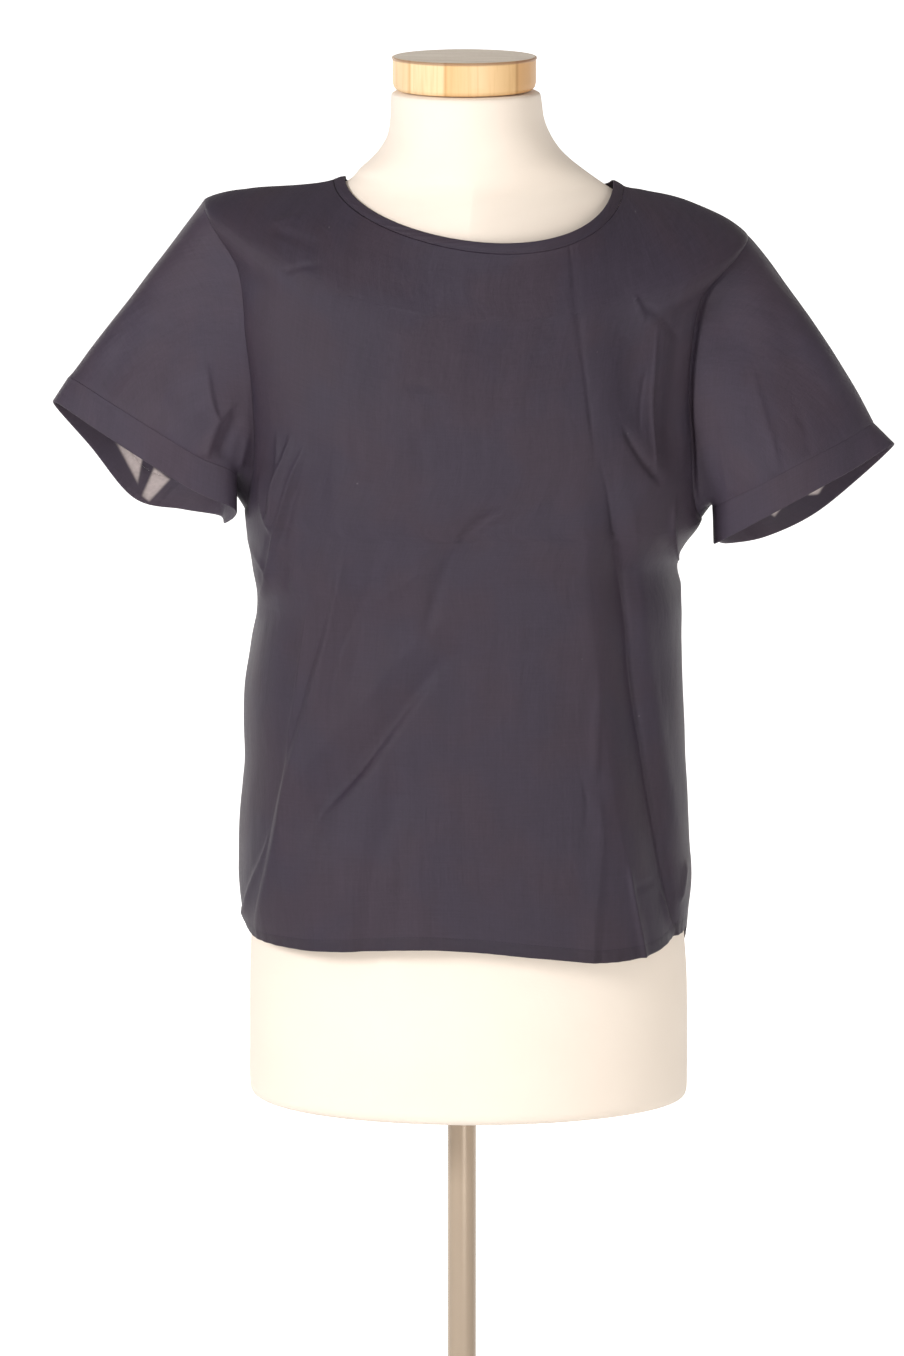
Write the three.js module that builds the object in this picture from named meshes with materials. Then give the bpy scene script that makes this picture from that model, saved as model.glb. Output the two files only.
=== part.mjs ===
// Short-sleeve blouse worn on a limbless dress form with its cap, pole and base.
// Millimetres, +Z up, +X the wearer's left, the front faces -Y, origin under the base.
import * as THREE from 'three';

// ---------- cloth sizes ----------
const CLOTH = 1.3;
const HEM_CLOTH = 2.0;
const HEM_DEPTH = 9.5;
const BINDING_DEPTH = 9.0;
const BINDING_OUT = 1.35;
const BINDING_IN = 0.85;
const CUFF_OUT = 1.95;
const CUFF_IN = 1.05;
const SEAM_HALF = 0.2;

// ---------- heights along the body, measured up the cloth from the hem ----------
const HEM = 0;
const UNDERARM = 325;
const SHOULDER_TIP = 530;
const NECK_EDGE = 600;

// ---------- mesh fineness ----------
const FRONT_COLUMNS = 40;
const BACK_COLUMNS = 24;
const BODY_ROWS = 14;
const YOKE_ROWS = 4;
const SLEEVE_ROWS = 8;

// Each row is one level round the body: the height of its front, back, left-seen and
// right-seen points, how far it reaches each way, how square it is, how it falls.
const LEVELS = [
  { s: 0, zf: 800, zb: 803, zl: 812, zr: 795, xl: -177.6, xr: 177.8, yf: -138, yb: 134, n: 2.1, fall: 2 },
  { s: 30, zf: 836, zb: 836, zl: 836, zr: 832, xl: -182, xr: 181, yf: -138, yb: 134, n: 2.1, fall: 2 },
  { s: 65, zf: 870, zb: 870, zl: 870, zr: 869, xl: -181.5, xr: 179.4, yf: -137, yb: 132, n: 2.1, fall: 2 },
  { s: 95, zf: 901, zb: 901, zl: 901, zr: 901, xl: -180, xr: 178, yf: -135, yb: 129, n: 2.1, fall: 2 },
  { s: 130, zf: 935, zb: 935, zl: 935, zr: 935, xl: -177, xr: 176, yf: -132, yb: 124, n: 2.1, fall: 2 },
  { s: 160, zf: 966, zb: 966, zl: 966, zr: 966, xl: -177.5, xr: 175, yf: -129, yb: 119, n: 2.1, fall: 2 },
  { s: 195, zf: 1000, zb: 1000, zl: 1000, zr: 1000, xl: -176, xr: 173.2, yf: -127, yb: 115, n: 2.1, fall: 2 },
  { s: 227, zf: 1032, zb: 1032, zl: 1032, zr: 1032, xl: -171, xr: 172.3, yf: -126, yb: 112, n: 2.1, fall: 2 },
  { s: 259, zf: 1064, zb: 1064, zl: 1064, zr: 1064, xl: -166, xr: 172, yf: -126, yb: 110, n: 2.1, fall: 2 },
  { s: 291, zf: 1098, zb: 1098, zl: 1099, zr: 1097, xl: -170.5, xr: 166.5, yf: -127, yb: 109, n: 2.1, fall: 2 },
  { s: 308, zf: 1114, zb: 1115, zl: 1118, zr: 1113, xl: -174, xr: 175, yf: -127.5, yb: 109, n: 2.1, fall: 2 },
  { s: 325, zf: 1130, zb: 1132, zl: 1138, zr: 1131, xl: -176, xr: 188, yf: -128, yb: 109, n: 2.1, fall: 2 },
  { s: 366, zf: 1165, zb: 1170, zl: 1188, zr: 1180, xl: -180, xr: 199, yf: -129, yb: 109, n: 2.1, fall: 2 },
  { s: 407, zf: 1200, zb: 1208, zl: 1240, zr: 1228, xl: -188, xr: 202, yf: -128, yb: 107, n: 2.1, fall: 2 },
  { s: 448, zf: 1236, zb: 1246, zl: 1292, zr: 1276, xl: -194, xr: 206, yf: -123, yb: 103, n: 2.1, fall: 2 },
  { s: 489, zf: 1270, zb: 1285, zl: 1344, zr: 1321, xl: -195, xr: 211, yf: -113, yb: 98, n: 2, fall: 1.9 },
  { s: 530, zf: 1303, zb: 1325, zl: 1386.5, zr: 1358.5, xl: -210, xr: 226, yf: -101, yb: 90, n: 2, fall: 1.7 },
  { s: 553, zf: 1322, zb: 1348, zl: 1394.5, zr: 1384, xl: -171, xr: 178, yf: -94, yb: 82, n: 2, fall: 1.5 },
  { s: 577, zf: 1342, zb: 1374, zl: 1397.5, zr: 1393.5, xl: -131, xr: 140, yf: -87, yb: 73, n: 2, fall: 1.25 },
  { s: 589, zf: 1352, zb: 1386, zl: 1399.8, zr: 1395.8, xl: -112, xr: 127, yf: -84, yb: 69, n: 2, fall: 1.15 },
  { s: 600, zf: 1361, zb: 1396, zl: 1404.2, zr: 1401, xl: -96, xr: 117, yf: -81, yb: 66, n: 2, fall: 1.1 },
];
const NECK_SKEW = 20;

// The finished hem edge: its height at each angle round the body.
const HEM_LINE = [
  { angle: 0, z: 802 },
  { angle: 9, z: 780 },
  { angle: 45, z: 793 },
  { angle: 90, z: 801 },
  { angle: 135, z: 806 },
  { angle: 169, z: 808 },
  { angle: 180, z: 813 },
  { angle: 189, z: 804 },
  { angle: 212, z: 800 },
  { angle: 240, z: 802 },
  { angle: 264, z: 806.5 },
  { angle: 285, z: 799 },
  { angle: 305, z: 792 },
  { angle: 325, z: 794 },
  { angle: 340, z: 800 },
  { angle: 351, z: 801 },
  { angle: 360, z: 802 },
];

// Large folds on the front and back: a line as seen from that side, its half width
// and its height, outwards positive.
const FRONT_FOLDS = [
  { name: 'long left ridge', x1: -100, z1: 1110, x2: -158, z2: 860, bow: -8, half: 15, height: 5 },
  { name: 'long left trough', x1: -78, z1: 1100, x2: -128, z2: 880, bow: -6, half: 16, height: -4 },
  { name: 'armpit ridge', x1: -130, z1: 1195, x2: -160, z2: 1080, bow: 6, half: 15, height: 6 },
  { name: 'armpit trough', x1: -104, z1: 1200, x2: -132, z2: 1100, bow: 4, half: 15, height: -4 },
  { name: 'waist diagonal ridge', x1: -2, z1: 1046, x2: -122, z2: 905, bow: 8, half: 15, height: 4 },
  { name: 'waist diagonal trough', x1: 8, z1: 1020, x2: -108, z2: 880, bow: 8, half: 15, height: -4 },
  { name: 'bust fold', x1: 30, z1: 1150, x2: -30, z2: 1050, bow: 14, half: 15, height: -3 },
  { name: 'right trough', x1: 118, z1: 1165, x2: 160, z2: 840, bow: 6, half: 16, height: -6 },
  { name: 'right ridge', x1: 92, z1: 1150, x2: 134, z2: 830, bow: 6, half: 16, height: 3 },
  { name: 'hem flare', x1: -55, z1: 940, x2: -50, z2: 820, bow: 0, half: 16, height: -2.5 },
];
const BACK_FOLDS = [
  { name: 'left back ridge', x1: -80, z1: 1110, x2: -128, z2: 850, bow: -8, half: 16, height: 4.5 },
  { name: 'left back trough', x1: -46, z1: 1090, x2: -88, z2: 840, bow: -6, half: 16, height: -4 },
  { name: 'middle back ridge', x1: 6, z1: 1060, x2: -20, z2: 830, bow: 6, half: 18, height: 3.5 },
  { name: 'right back trough', x1: 60, z1: 1120, x2: 84, z2: 840, bow: 6, half: 16, height: -4.5 },
  { name: 'right back ridge', x1: 96, z1: 1130, x2: 128, z2: 850, bow: 6, half: 16, height: 4 },
  { name: 'shoulder blade fold', x1: 130, z1: 1240, x2: 40, z2: 1150, bow: -10, half: 15, height: 3 },
];

// Half openings of the two armholes, in degrees round the body from its side, from the
// underarm up to the shoulder tip. Left and right are as seen from the front.
const ARMHOLE = [
  { s: 325, left: 0, right: 0 },
  { s: 330, left: 6, right: 10 },
  { s: 339, left: 10.5, right: 16 },
  { s: 353, left: 15.5, right: 19.5 },
  { s: 371, left: 19.5, right: 21.5 },
  { s: 393, left: 22.7, right: 23 },
  { s: 416, left: 24.5, right: 25 },
  { s: 440, left: 24.5, right: 26.2 },
  { s: 463, left: 23.4, right: 26.2 },
  { s: 484, left: 21.4, right: 25 },
  { s: 501, left: 19.6, right: 23.4 },
  { s: 514, left: 17.6, right: 21 },
  { s: 523, left: 13.8, right: 16.8 },
  { s: 528, left: 8, right: 10 },
  { s: 530, left: 0, right: 0 },
];

// Sleeve ends: the seam where the cuff starts and the cuff's edge, from the underarm
// forwards, over the outer fold and back, and how far the sleeve swells on its way.
const LEFT_SEEN_CUFF = [
  { at: 'underarm', seam: [-190, -6, 1155], edge: [-192, -6, 1127], puff: 0 },
  { at: 'front inner', seam: [-183, -49, 1174], edge: [-183, -47, 1144], puff: 0 },
  { at: 'front low', seam: [-211, -62, 1189], edge: [-215, -58, 1161], puff: 3 },
  { at: 'front middle', seam: [-247, -56, 1210], edge: [-254, -52, 1184], puff: 3 },
  { at: 'front high', seam: [-283, -33, 1229], edge: [-293, -31, 1206], puff: 1 },
  { at: 'outer fold', seam: [-316, 4, 1243], edge: [-329, 5, 1223], puff: 0 },
  { at: 'back high', seam: [-289, 40, 1206], edge: [-301, 40, 1182], puff: 2 },
  { at: 'back middle', seam: [-257, 60, 1161], edge: [-267, 60, 1137], puff: 4 },
  { at: 'back low', seam: [-221, 60, 1151], edge: [-228, 60, 1128], puff: 3 },
  { at: 'back inner', seam: [-195, 34, 1150], edge: [-198, 34, 1127], puff: 0 },
];
const RIGHT_SEEN_CUFF = [
  { at: 'underarm', seam: [199, -5, 1143], edge: [201, -5, 1112], puff: 0 },
  { at: 'front inner', seam: [199, -43, 1147], edge: [200, -41, 1117], puff: 0 },
  { at: 'front low', seam: [231, -58, 1165], edge: [235, -55, 1138], puff: 3 },
  { at: 'front middle', seam: [266, -52, 1183], edge: [273, -50, 1158], puff: 4 },
  { at: 'front high', seam: [300, -30, 1197], edge: [310, -28, 1175], puff: 4 },
  { at: 'outer fold', seam: [325, 4, 1206], edge: [342, 5, 1189], puff: 4.5 },
  { at: 'back high', seam: [304, 38, 1181], edge: [316, 38, 1157], puff: 5 },
  { at: 'back middle', seam: [272, 58, 1151], edge: [280, 58, 1124], puff: 4 },
  { at: 'back low', seam: [236, 58, 1133], edge: [242, 58, 1106], puff: 3 },
  { at: 'back inner', seam: [208, 30, 1131], edge: [212, 30, 1105], puff: 0 },
];

// Levels of the form: height, middle, half width, front and back depth.
const FORM_LEVELS = [
  { z: 658, cx: 7, half: 163, yf: -107, yb: 105, n: 2 },
  { z: 659.4, cx: 5, half: 170.5, yf: -112, yb: 110, n: 2 },
  { z: 663, cx: 3.2, half: 175, yf: -116, yb: 113, n: 2 },
  { z: 670, cx: 2.4, half: 176.5, yf: -118, yb: 115, n: 2 },
  { z: 710, cx: 2.4, half: 176.5, yf: -119, yb: 116, n: 2 },
  { z: 760, cx: 2.2, half: 176, yf: -120, yb: 116, n: 2 },
  { z: 800, cx: 1.4, half: 174, yf: -120, yb: 116, n: 2 },
  { z: 850, cx: 0.5, half: 172, yf: -118, yb: 114, n: 2 },
  { z: 900, cx: 0, half: 164, yf: -112, yb: 108, n: 2 },
  { z: 950, cx: 0, half: 150, yf: -102, yb: 98, n: 2 },
  { z: 1000, cx: 0, half: 137, yf: -94, yb: 90, n: 2 },
  { z: 1045, cx: 0, half: 130, yf: -90, yb: 86, n: 2 },
  { z: 1090, cx: 0, half: 132, yf: -94, yb: 86, n: 2 },
  { z: 1140, cx: 0, half: 140, yf: -105, yb: 90, n: 2 },
  { z: 1190, cx: 0, half: 147, yf: -113, yb: 94, n: 2 },
  { z: 1240, cx: 0, half: 153, yf: -108, yb: 93, n: 2 },
  { z: 1290, cx: 1, half: 160, yf: -93, yb: 87, n: 2 },
  { z: 1330, cx: 2, half: 164, yf: -81, yb: 76, n: 1.86 },
  { z: 1352, cx: 3, half: 161, yf: -75, yb: 69, n: 1.64 },
  { z: 1370, cx: 3.5, half: 148, yf: -70, yb: 64, n: 1.42 },
  { z: 1384, cx: 4, half: 130, yf: -66, yb: 61, n: 1.3 },
  { z: 1395, cx: 5.2, half: 110, yf: -63.5, yb: 60, n: 1.33 },
  { z: 1403.4, cx: 6.1, half: 96.6, yf: -62, yb: 59.5, n: 1.48 },
  { z: 1411, cx: 4.2, half: 88, yf: -61.6, yb: 59.5, n: 1.66 },
  { z: 1418, cx: 3.6, half: 79.6, yf: -61.4, yb: 59.5, n: 1.82 },
  { z: 1426, cx: 3.2, half: 71.8, yf: -61.1, yb: 59.5, n: 1.93 },
  { z: 1437, cx: 2.6, half: 65, yf: -60.6, yb: 59.5, n: 2 },
  { z: 1450, cx: 1.1, half: 61.1, yf: -60, yb: 59.5, n: 2 },
  { z: 1466, cx: 0.2, half: 59.6, yf: -59, yb: 59, n: 2 },
  { z: 1470.5, cx: 0, half: 58.6, yf: -58, yb: 58, n: 2 },
  { z: 1472, cx: 0, half: 56, yf: -55.5, yb: 55.5, n: 2 },
];
const FORM_COLUMNS = 40;

// ---------- cap, pole and base ----------
const CAP_X = -1.2;
const CAP_PROFILE = [
  { r: 49, z: 1472.3 },
  { r: 53.5, z: 1473.4 },
  { r: 56, z: 1476 },
  { r: 56.8, z: 1480 },
  { r: 56.8, z: 1497.4 },
  { r: 57.4, z: 1498 },
  { r: 57.4, z: 1499.4 },
  { r: 56.8, z: 1500 },
];
const CAP_COLUMNS = 48;
const POLE_X = -3;
const POLE_RADIUS = 11.6;
const POLE_TOP = 657.7;
const POLE_FOOT = 12.3;
const BASE_RADIUS = 160;
const BASE_PLATE = 12;
const COLLAR_RADIUS = 19;
const COLLAR_TOP = 52;
const BORE_RADIUS = 11.9;

// ---------- small helpers ----------
const vec = (x, y, z) => new THREE.Vector3(x, y, z);
const radians = (degrees) => (degrees * Math.PI) / 180;
const clamp01 = (t) => Math.min(1, Math.max(0, t));
const smooth = (t) => clamp01(t) * clamp01(t) * (3 - 2 * clamp01(t));

// Value of one named column of a table at key k, on a smooth curve through its rows.
function along(table, key, column, k) {
  const last = table.length - 1;
  let i = 0;
  while (i < last - 1 && table[i + 1][key] < k) {
    i += 1;
  }
  const slope = (j) => {
    const a = table[Math.max(0, j - 1)];
    const b = table[Math.min(last, j + 1)];
    return (b[column] - a[column]) / (b[key] - a[key]);
  };
  const a = table[i];
  const b = table[i + 1];
  const span = b[key] - a[key];
  const t = clamp01((k - a[key]) / span);
  const h1 = 2 * t ** 3 - 3 * t ** 2 + 1;
  const h2 = t ** 3 - 2 * t ** 2 + t;
  const h3 = -2 * t ** 3 + 3 * t ** 2;
  const h4 = t ** 3 - t ** 2;
  return h1 * a[column] + h2 * span * slope(i) + h3 * b[column] + h4 * span * slope(i + 1);
}

// ---------- the worn body surface ----------
// Point at an angle round the body (0 is +X, 90 the back, 270 the front), s up the cloth.
function bodyForm(angle, s) {
  const a = radians(angle);
  const c = Math.cos(a);
  const f = Math.sin(a);
  const at = (column) => along(LEVELS, 's', column, s);
  const power = 2 / at('n');
  const cx = (at('xl') + at('xr')) / 2;
  const half = (at('xr') - at('xl')) / 2;
  const front = f < 0;
  const skew = front ? NECK_SKEW * smooth((s - UNDERARM) / (NECK_EDGE - UNDERARM)) : 0;
  const x = cx + half * Math.sign(c) * Math.abs(c) ** power + skew * f * f;
  const y = (front ? at('yf') : at('yb')) * Math.abs(f) ** power;
  const side = (at('zr') * (1 + c)) / 2 + (at('zl') * (1 - c)) / 2;
  let z = side + ((front ? at('zf') : at('zb')) - side) * Math.abs(f) ** at('fall');
  if (s < 110) {
    const ring = side0(angle);
    const turn = ((angle % 360) + 360) % 360;
    z += (along(HEM_LINE, 'angle', 'z', turn) - ring) * (1 - smooth(s / 110));
  }
  return vec(x, y, z);
}

// Height of the lowest level before the hem line is applied.
function side0(angle) {
  const a = radians(angle);
  const c = Math.cos(a);
  const f = Math.sin(a);
  const row = LEVELS[0];
  const side = (row.zr * (1 + c)) / 2 + (row.zl * (1 - c)) / 2;
  return side + ((f < 0 ? row.zf : row.zb) - side) * Math.abs(f) ** row.fall;
}

// Height of one fold at a point seen at x, z from its side.
function foldHeight(fold, x, z) {
  const dx = fold.x2 - fold.x1;
  const dz = fold.z2 - fold.z1;
  const length = Math.hypot(dx, dz);
  const t = ((x - fold.x1) * dx + (z - fold.z1) * dz) / (length * length);
  const off = ((x - fold.x1) * dz - (z - fold.z1) * dx) / length;
  const bend = fold.bow * 4 * clamp01(t) * (1 - clamp01(t));
  const reach = Math.exp(-(((off - bend) / fold.half) ** 2));
  const ends = smooth((t + 0.12) / 0.24) * smooth((1.12 - t) / 0.24);
  return fold.height * reach * ends;
}

function normalOf(surface, angle, s) {
  const low = Math.max(HEM, s - 2);
  const high = Math.min(NECK_EDGE, s + 2);
  const round = surface(angle + 0.6, s).sub(surface(angle - 0.6, s));
  const up = surface(angle, high).sub(surface(angle, low));
  return round.cross(up).normalize();
}

function body(angle, s) {
  const p = bodyForm(angle, s);
  const front = Math.sin(radians(angle)) < 0;
  const facing = smooth(Math.abs(Math.sin(radians(angle))) / 0.35);
  let height = 0;
  for (const fold of front ? FRONT_FOLDS : BACK_FOLDS) {
    height += foldHeight(fold, p.x, p.z);
  }
  return p.addScaledVector(normalOf(bodyForm, angle, s), height * facing);
}

// Half opening of one armhole at s, zero below the underarm and above the shoulder.
function opening(side, s) {
  const row = ARMHOLE.find((step) => Math.abs(step.s - s) < 1e-6);
  if (!row) {
    return 0;
  }
  return side > 0 ? row.right : row.left;
}

// The level at which the neck binding starts, so that it is one width all round.
function bindingStart(angle) {
  const step = body(angle, NECK_EDGE).distanceTo(body(angle, NECK_EDGE - 4)) / 4;
  return NECK_EDGE - BINDING_DEPTH / step;
}

// ---------- closed solids from grids ----------
function meshOf(name, points, faces, color) {
  let volume = 0;
  for (const [a, b, c] of faces) {
    volume += points[a].dot(points[b].clone().cross(points[c]));
  }
  const flat = [];
  for (const [a, b, c] of faces) {
    flat.push(a, volume > 0 ? b : c, volume > 0 ? c : b);
  }
  const geometry = new THREE.BufferGeometry();
  const coords = new Float32Array(points.flatMap((p) => [p.x, p.y, p.z]));
  geometry.setAttribute('position', new THREE.BufferAttribute(coords, 3));
  geometry.setIndex(flat);
  geometry.computeVertexNormals();
  const mesh = new THREE.Mesh(geometry, new THREE.MeshStandardMaterial({ color }));
  mesh.name = name;
  return mesh;
}

// A wall from rows of { p, out, into }; closed rows join their ends.
function wallSolid(name, rows, closed, color) {
  const height = rows.length;
  const width = rows[0].length;
  const points = [];
  for (const row of rows) {
    for (const spot of row) {
      points.push(spot.p.clone().add(spot.out));
    }
  }
  for (const row of rows) {
    for (const spot of row) {
      points.push(spot.p.clone().sub(spot.into));
    }
  }
  const total = height * width;
  const faces = [];
  const quad = (a, b, c, d) => {
    faces.push([a, b, c], [a, c, d]);
  };
  const spans = closed ? width : width - 1;
  for (let j = 0; j + 1 < height; j += 1) {
    for (let i = 0; i < spans; i += 1) {
      const k = (i + 1) % width;
      const a = j * width + i;
      const b = j * width + k;
      const c = (j + 1) * width + k;
      const d = (j + 1) * width + i;
      quad(a, b, c, d);
      quad(total + a, total + d, total + c, total + b);
    }
  }
  for (let i = 0; i < spans; i += 1) {
    const k = (i + 1) % width;
    const top = (height - 1) * width;
    quad(k, i, total + i, total + k);
    quad(top + i, top + k, total + top + k, total + top + i);
  }
  if (!closed) {
    for (let j = 0; j + 1 < height; j += 1) {
      const a = j * width;
      const b = (j + 1) * width;
      quad(a, b, total + b, total + a);
      quad(b + width - 1, a + width - 1, total + a + width - 1, total + b + width - 1);
    }
  }
  return meshOf(name, points, faces, color);
}

// A solid from stacked rings, closed by a fan at each end.
function ringSolid(name, rings, color) {
  const width = rings[0].length;
  const points = rings.flat();
  const middle = (ring) => ring.reduce((sum, p) => sum.add(p), vec(0, 0, 0)).divideScalar(width);
  const faces = [];
  for (let j = 0; j + 1 < rings.length; j += 1) {
    for (let i = 0; i < width; i += 1) {
      const k = (i + 1) % width;
      const a = j * width + i;
      const b = j * width + k;
      const c = (j + 1) * width + k;
      const d = (j + 1) * width + i;
      faces.push([a, b, c], [a, c, d]);
    }
  }
  points.push(middle(rings[0]), middle(rings[rings.length - 1]));
  const top = (rings.length - 1) * width;
  for (let i = 0; i < width; i += 1) {
    const k = (i + 1) % width;
    faces.push([k, i, points.length - 2]);
    faces.push([top + i, top + k, points.length - 1]);
  }
  return meshOf(name, points, faces, color);
}

function turned(name, profile, cx, columns, color) {
  const rings = profile.map((row) => {
    const ring = [];
    for (let i = 0; i < columns; i += 1) {
      const a = (2 * Math.PI * i) / columns;
      ring.push(vec(cx + row.r * Math.cos(a), row.r * Math.sin(a), row.z));
    }
    return ring;
  });
  return ringSolid(name, rings, color);
}

// ---------- armholes and sleeves ----------
// One armhole runs from the underarm up its front edge to the shoulder and down its back.
function armholeAngle(side, half, s) {
  const open = opening(side, s);
  if (side > 0) {
    return half === 'front' ? 360 - open : 360 + open;
  }
  return half === 'front' ? 180 + open : 180 - open;
}

function armholeLoop(side) {
  const up = ARMHOLE.map((row) => ({ half: 'front', s: row.s }));
  const down = ARMHOLE.slice(1, -1).reverse();
  const loop = [...up, ...down.map((row) => ({ half: 'back', s: row.s }))];
  return loop.map((spot) => {
    const angle = armholeAngle(side, spot.half, spot.s);
    return { ...spot, angle, p: body(angle, spot.s), normal: normalOf(body, angle, spot.s) };
  });
}

// A closed smooth curve through table points, at fractions counted in rows.
function loopPoint(table, column, turn) {
  const count = table.length;
  const i = Math.floor(turn);
  const t = turn - i;
  const at = (k) => vec(...table[((k % count) + count) % count][column]);
  const p0 = at(i - 1);
  const p1 = at(i);
  const p2 = at(i + 1);
  const p3 = at(i + 2);
  const m1 = p2.clone().sub(p0).multiplyScalar(0.5);
  const m2 = p3.clone().sub(p1).multiplyScalar(0.5);
  return hermite(p1, m1, p2, m2, t);
}

function hermite(p1, m1, p2, m2, t) {
  const h1 = 2 * t ** 3 - 3 * t ** 2 + 1;
  const h2 = t ** 3 - 2 * t ** 2 + t;
  const h3 = -2 * t ** 3 + 3 * t ** 2;
  const h4 = t ** 3 - t ** 2;
  const p = p1.clone().multiplyScalar(h1);
  p.addScaledVector(m1, h2);
  p.addScaledVector(p2, h3);
  p.addScaledVector(m2, h4);
  return p;
}

// Unit vector across a loop of points at k, from the direction it leaves the loop.
function across(loop, k, leaving, outward) {
  const count = loop.length;
  const next = loop[(k + 1) % count];
  const before = loop[(k + count - 1) % count];
  const normal = next.clone().sub(before).cross(leaving).normalize();
  if (normal.dot(outward) < 0) {
    normal.negate();
  }
  return normal;
}

// The shared seam vector of two walls that meet at an angle.
function mitre(a, b) {
  const sum = a.clone().add(b);
  return sum.divideScalar(Math.max(0.9, 1 + a.dot(b)));
}

// How far round the cuff's table each armhole point is, by its distance along each half.
function turnsOf(starts, tip, halfTurn) {
  const lengths = [0];
  for (let k = 1; k <= starts.length; k += 1) {
    lengths.push(lengths[k - 1] + starts[k % starts.length].distanceTo(starts[k - 1]));
  }
  return starts.map((_, k) => {
    if (k <= tip) {
      return (halfTurn * lengths[k]) / lengths[tip];
    }
    const back = lengths[starts.length] - lengths[tip];
    return halfTurn * (1 + (lengths[k] - lengths[tip]) / back);
  });
}

// Everything that the panels, the sleeve and the cuff of one side share.
function sleeveFrame(side, table) {
  const hole = armholeLoop(side);
  const count = hole.length;
  const starts = hole.map((spot) => spot.p);
  const turnOf = turnsOf(starts, ARMHOLE.length - 1, table.length / 2);
  const seams = turnOf.map((turn) => loopPoint(table, 'seam', turn));
  const edges = turnOf.map((turn) => loopPoint(table, 'edge', turn));
  const puffs = turnOf.map((turn) => {
    const i = Math.floor(turn);
    const t = turn - i;
    return table[i].puff * (1 - t) + table[(i + 1) % table.length].puff * t;
  });
  const middle = starts.reduce((sum, p) => sum.add(p), vec(0, 0, 0)).divideScalar(count);
  const leaving = hole.map((spot, k) => {
    const next = starts[(k + 1) % count];
    const before = starts[(k + count - 1) % count];
    const open = next.clone().sub(before).cross(spot.normal).normalize();
    if (open.dot(middle.clone().sub(spot.p)) < 0) {
      open.negate();
    }
    const chord = seams[k].clone().sub(spot.p).normalize();
    return open.multiplyScalar(0.45).add(chord.multiplyScalar(0.75)).normalize();
  });
  const starting = hole.map((spot, k) => across(starts, k, leaving[k], spot.normal));
  const rims = hole.map((spot, k) => mitre(spot.normal, starting[k]));
  return { hole, starts, seams, edges, puffs, leaving, starting, rims, count };
}

// Rows of mid-surface points of a sleeve, from the armhole to the cuff's seam.
function sleeveRows(frame) {
  const rows = [];
  for (let j = 0; j <= SLEEVE_ROWS; j += 1) {
    const t = j / SLEEVE_ROWS;
    rows.push(
      frame.starts.map((p, k) => {
        const reach = p.distanceTo(frame.seams[k]);
        const pull = Math.min(reach * 0.9, 26 + reach * 0.18);
        const leave = frame.leaving[k].clone().multiplyScalar(pull);
        const chord = frame.seams[k].clone().sub(p).normalize();
        const hang = frame.edges[k].clone().sub(frame.seams[k]).normalize();
        const arrive = hang.lerp(chord, smooth(reach / 160)).normalize();
        const spot = hermite(p, leave, frame.seams[k], arrive.multiplyScalar(pull), t);
        return spot.addScaledVector(frame.starting[k], frame.puffs[k] * 4 * t * (1 - t));
      }),
    );
  }
  return rows;
}

function ringNormals(rows, j, side) {
  const count = rows[j].length;
  const low = rows[Math.max(0, j - 1)];
  const high = rows[Math.min(rows.length - 1, j + 1)];
  return rows[j].map((_, k) => {
    const round = rows[j][(k + 1) % count].clone().sub(rows[j][(k + count - 1) % count]);
    const run = high[k].clone().sub(low[k]);
    const normal = round.cross(run).normalize();
    return side > 0 ? normal.negate() : normal;
  });
}

function wallRow(points, outs, out, into) {
  return points.map((p, k) => ({
    p,
    out: outs[k].clone().multiplyScalar(out),
    into: outs[k].clone().multiplyScalar(into),
  }));
}

function shifted(points, towards, distance) {
  return points.map((p, k) => {
    const step = towards[k].clone().sub(p).normalize();
    return p.clone().addScaledVector(step, distance);
  });
}

function sleeveAndCuff(side, frame, sleeveName, cuffName) {
  const rows = sleeveRows(frame);
  const last = rows.length - 1;
  const seamToEdge = [frame.seams, frame.edges];
  const cuffNormals = ringNormals(seamToEdge, 0, side);
  const sleeveEnd = ringNormals(rows, last, side);
  const seamRims = cuffNormals.map((normal, k) => mitre(normal, sleeveEnd[k]));
  const walls = rows.map((row, j) => {
    if (j === 0) {
      return wallRow(shifted(row, rows[1], SEAM_HALF), frame.rims, CLOTH / 2, CLOTH / 2);
    }
    if (j === last) {
      return wallRow(shifted(row, rows[last - 1], SEAM_HALF), seamRims, CLOTH / 2, CLOTH / 2);
    }
    return wallRow(row, ringNormals(rows, j, side), CLOTH / 2, CLOTH / 2);
  });
  const sleeve = wallSolid(sleeveName, walls, true, 0x4c4652);
  const middles = frame.seams.map((p, k) => p.clone().add(frame.edges[k]).multiplyScalar(0.5));
  const cuffRows = [shifted(frame.seams, frame.edges, SEAM_HALF), middles, frame.edges];
  const rimRows = [seamRims, cuffNormals, cuffNormals];
  const cuffWalls = cuffRows.map((row, j) => wallRow(row, rimRows[j], CUFF_OUT, CUFF_IN));
  return [sleeve, wallSolid(cuffName, cuffWalls, true, 0x504a56)];
}

// ---------- front and back panels ----------
function rowLevels() {
  const rows = [];
  for (const s of [HEM, HEM_DEPTH - 1.2, HEM_DEPTH]) {
    rows.push({ s: () => s, base: s });
  }
  for (let j = 1; j <= BODY_ROWS; j += 1) {
    const s = HEM_DEPTH + ((UNDERARM - HEM_DEPTH) * j) / BODY_ROWS;
    rows.push({ s: () => s, base: s });
  }
  for (const step of ARMHOLE.slice(1)) {
    rows.push({ s: () => step.s, base: step.s });
  }
  for (let j = 1; j <= YOKE_ROWS; j += 1) {
    const t = j / YOKE_ROWS;
    const top = (angle) => SHOULDER_TIP + (bindingStart(angle) - SHOULDER_TIP) * t;
    rows.push({ s: top, base: SHOULDER_TIP + (NECK_EDGE - SHOULDER_TIP) * t });
  }
  return rows;
}

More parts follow.
